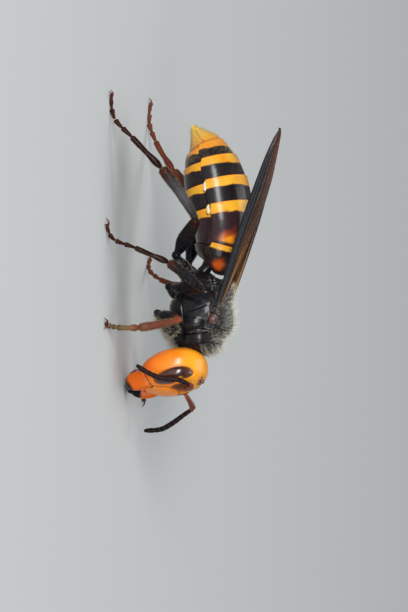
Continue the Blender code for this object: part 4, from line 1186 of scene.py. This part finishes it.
def foot_skins(kind, ankle, first_joint, claws, half):
    """Long first joint and four short ones that widen, then two hooked claws with a pad between."""
    along = unit(first_joint - ankle)
    settle = first_joint * 0.5 + claws * 0.5
    settle[2] = claws[2] + (first_joint[2] - claws[2]) * 0.13
    line, _ = path_through([ankle + along * 0.05, first_joint, settle, claws], FOOT_STEPS)
    paint = leg_paint(kind, "foot")
    skins = []
    for begin, end, sizes in FOOT_JOINTS:
        def tinted(share, turn, begin=begin, end=end):
            whole = paint(begin + (end - begin) * share, turn)
            return mixed(whole, BROWN_BLACK, 0.5 * step(0.85, 1.0, share))

        inside = line[int(begin * FOOT_STEPS):int(end * FOOT_STEPS) + 1:4]
        skins.append(limb(inside, sizes, 20 if begin else 36, 20, size=half, paint=tinted, squeeze=1.05))
    ahead = unit((claws - settle) * (1, 1, 0))
    lean = np.array((-ahead[1], ahead[0], 0))
    for sign in (1, -1):
        root = claws - ahead * 0.25 + lean * (0.09 * sign) + (0, 0, 0.12)
        bend = claws + ahead * 0.45 + lean * (0.42 * sign) + (0, 0, 0.26)
        tip = claws + ahead * 0.85 + lean * (0.75 * sign)
        tip[2] = 0.1
        skins.append(limb([root, bend, tip], CLAW_SIZES, 20, 12, paint=RED_BROWN * 0.5))
    pad_middle = claws + ahead * 0.12 + (0, 0, 0.02)
    skins.append(egg(pad_middle, 0.26, 0.3, 0.2, 0.16, 0.12, 1.0, 20, 12, RED_BROWN * 0.4))
    for skin in skins:
        skin.points[:, 2] = np.maximum(skin.points[:, 2], 0.0)
    return skins


# Wings

class Blade:
    """A folded wing from its hinge to its tip, by the share of its length and of its chord."""

    def __init__(self, root, tip, sign, chord):
        self.root, self.tip, self.chord = root, tip, chord
        self.inward = np.array((0.0, -sign, 0.0))
        upward = unit(np.cross(unit(tip - root), self.inward))
        self.upward = upward * np.sign(upward[2])

    def point(self, share, across, lift=0.0):
        """Points of the wing. across: 0 at the leading edge, 1 at the fold. lift: above its middle."""
        share, across, lift = np.broadcast_arrays(share, across, lift)
        tilt = np.radians(smooth(BLADE_TILT, share))
        chordwise = self.inward * np.cos(tilt) + self.upward * np.sin(tilt)
        normal = self.upward * np.cos(tilt) - self.inward * np.sin(tilt)
        width = smooth(self.chord, share)[..., 0]
        camber = np.sin(math.pi * np.clip(across, 0, 1)) * BLADE_CAMBER * width
        sweep = smooth(TIP_SWEEP, share)[..., 0] - np.sin(math.pi * share) * BLADE_BOW
        span = self.root + (self.tip - self.root) * share[..., None]
        return span + chordwise * (across * width + sweep)[..., None] + normal * (camber + lift)[..., None]

    def film(self, back_reach):
        """The membrane, folded back under itself at its inner edge, as one thin closed sheet."""
        share, way = grid(np.linspace(0.0, 1.0, 150), np.linspace(0.02, 1.0 + back_reach, 96))
        across = np.where(way < 1, way, 2 - way) - 0.03 * bell(way - 1, 0.06)
        pleats = 0.035 * np.sin(way * 34.0 + 3.0 * share) * step(0.3, 0.5, way) * step(0.0, 0.2, share)
        lift = 0.12 - 0.24 * step(0.93, 1.07, way) + pleats
        half = FILM_HALF * np.where(way < 1, 1, -1)
        paint = layered(FILM_GOLD, (FILM_AMBER, step(0.12, 0.5, share)), (FILM_RED, step(0.6, 0.95, share)),
                        (FILM_SMOKE, step(0.6, 0.4, way)))
        return sheet(self.point(share, across, lift + half), self.point(share, across, lift - half), paint)

    def strip(self):
        """The dark, ribbed leading part of a forewing, thickest at its front edge."""
        share, way = grid(np.linspace(0.0, 0.985, 160), np.linspace(0.0, 1.0, 44))
        across = way * smooth(STRIP_REACH, share)[..., 0]
        ribs = 0.1 * bell(way - 0.1, 0.1) + 0.08 * bell(way - 0.42, 0.09) + 0.06 * bell(way - 0.8, 0.12)
        fade = step(1.0, 0.85, way) * step(1.0, 0.93, share)
        steel, brown, red = STRIP_TONES
        paint = layered(steel, (brown, step(0.3, 0.9, way)), (red, 0.8 * step(0.7, 1.0, share)))
        under = 0.06 - 0.2 * bell(way - 0.1, 0.2) * fade
        return sheet(self.point(share, across, 0.145 + ribs * fade), self.point(share, across, under), paint)

    def vein(self, line, thick, end, lift=0.13, paint=BROWN_BLACK):
        """A round vein on the membrane from the root to end. line: share, place across. thick: share of its
        own length, half width."""
        share = np.linspace(0.0, end, 90)
        middle = self.point(share, smooth(line, share)[:, 0], lift)
        side, up = carried(unit(np.gradient(middle, axis=0)), self.upward)
        half, turn = smooth(thick, share / end), full_turn(14)
        return rod(sections(middle, side, up, half * np.cos(turn), half * np.sin(turn)), paint)

    def cross_vein(self, start, end):
        """A thin vein from (share, across) to (share, across)."""
        share, across = np.linspace(start, end, 24)[::3].T
        return limb(self.point(share, across, 0.14), [(0.0, 0.05), (1.0, 0.05)], 24, 8, paint=BROWN_BLACK)


def make_wings():
    for side, sign in SIDES.items():
        hinge, tip = mirrored(FOREWING_ROOT, sign), mirrored(FOREWING_TIPS[side], sign)
        tilt = math.radians(BLADE_TILT[0][1])
        inward = mirrored((0, -math.cos(tilt), math.sin(tilt)), sign) * HINDWING_INSIDE[side]
        under = mirrored((0, -math.sin(tilt), -math.cos(tilt)), sign) * HINDWING_UNDER
        hind_ends = [hinge + (tip - hinge) * share + inward + under for share in HINDWING_REACH]
        for wing, ends in (("forewing", (hinge, tip)), ("hindwing", hind_ends)):
            chord, back_reach, veins, crosses = WINGS[wing]
            blade = Blade(*ends, sign, chord)
            skins = [blade.vein(*row) for row in veins] + [blade.cross_vein(*row) for row in crosses]
            if wing == "forewing":
                stalk = hinge + (mirrored(STALK_END, sign) - hinge) * np.linspace(-0.35, 1.0, 4)[:, None]
                skins = [blade.strip(), *skins, limb(stalk, STALK_SIZES, 24, 20, paint=BROWN_BLACK)]
            add_piece(f"{wing}_{side}_film", [blade.film(back_reach)], "wing_film", "wing", f"{wing}_{side}")
            add_piece(f"{wing}_{side}_veins", skins, "wing_vein", "wing")


# Studio

def make_studio():
    """Pale floor, pale sky and soft lights that face the hornet."""
    material = bpy.data.materials.new("floor")
    material.use_nodes = True
    shader_of(material).inputs["Base Color"].default_value = FLOOR_COLOUR
    shader_of(material).inputs["Roughness"].default_value = FLOOR_ROUGHNESS
    mesh = bpy.data.meshes.new("floor")
    corners = [(x * FLOOR_HALF, y * FLOOR_HALF, 0) for x, y in ((-1, -1), (1, -1), (1, 1), (-1, 1))]
    mesh.from_pydata(corners, [], [(0, 1, 2, 3)])
    mesh.materials.append(material)
    placed("floor", mesh)
    bpy.context.scene.view_settings.view_transform = "Standard"
    world = bpy.data.worlds.new("studio")
    world.use_nodes = True
    world.node_tree.nodes["Background"].inputs["Color"].default_value = SKY_COLOUR
    world.node_tree.nodes["Background"].inputs["Strength"].default_value = SKY_STRENGTH
    bpy.context.scene.world = world
    for name, direction, distance, size, power, colour in LIGHTS:
        lamp = bpy.data.lights.new(name, "AREA")
        lamp.shape = "RECTANGLE"
        lamp.size, lamp.size_y = size
        lamp.energy = power
        lamp.color = colour
        thing = placed(name, lamp)
        away = Vector(direction).normalized()
        thing.location = away * distance + Vector((0, 0, 0.01))
        thing.rotation_euler = away.to_track_quat("Z", "Y").to_euler()


def make_camera():
    """The photograph's view: 10 degrees above the level, from the hornet's right, its tail at the top."""
    sin_rise, cos_rise = math.sin(VIEW_RISE), math.cos(VIEW_RISE)
    sin_swing, cos_swing = math.sin(VIEW_SWING), math.cos(VIEW_SWING)
    right = Vector((-sin_swing * sin_rise, cos_swing * sin_rise, cos_rise))
    up = Vector((-cos_swing, -sin_swing, 0.0))
    back = right.cross(up)
    lens = bpy.data.cameras.new("camera")
    lens.lens = 200
    lens.sensor_fit = "VERTICAL"
    lens.sensor_height = 36
    lens.clip_start = 0.01
    place = Vector(VIEW_MIDDLE + FRAME_SHIFT) * MM + back * (VIEW_HEIGHT * lens.lens / lens.sensor_height)
    camera = placed("camera", lens)
    camera.matrix_world = Matrix((*zip(right, up, back, place), (0, 0, 0, 1)))
    bpy.context.scene.camera = camera


materials = make_materials()
head = make_head(make_mandibles())
make_antennae()
thorax = make_thorax()
abdomen = make_abdomen()
legs = {name: make_leg(name, points) for name, points in LEG_JOINTS.items()}
make_wings()
make_thorax_hair(thorax)
make_abdomen_hair(abdomen)
make_leg_hair(legs)
make_head_hair(head)
make_studio()
make_camera()
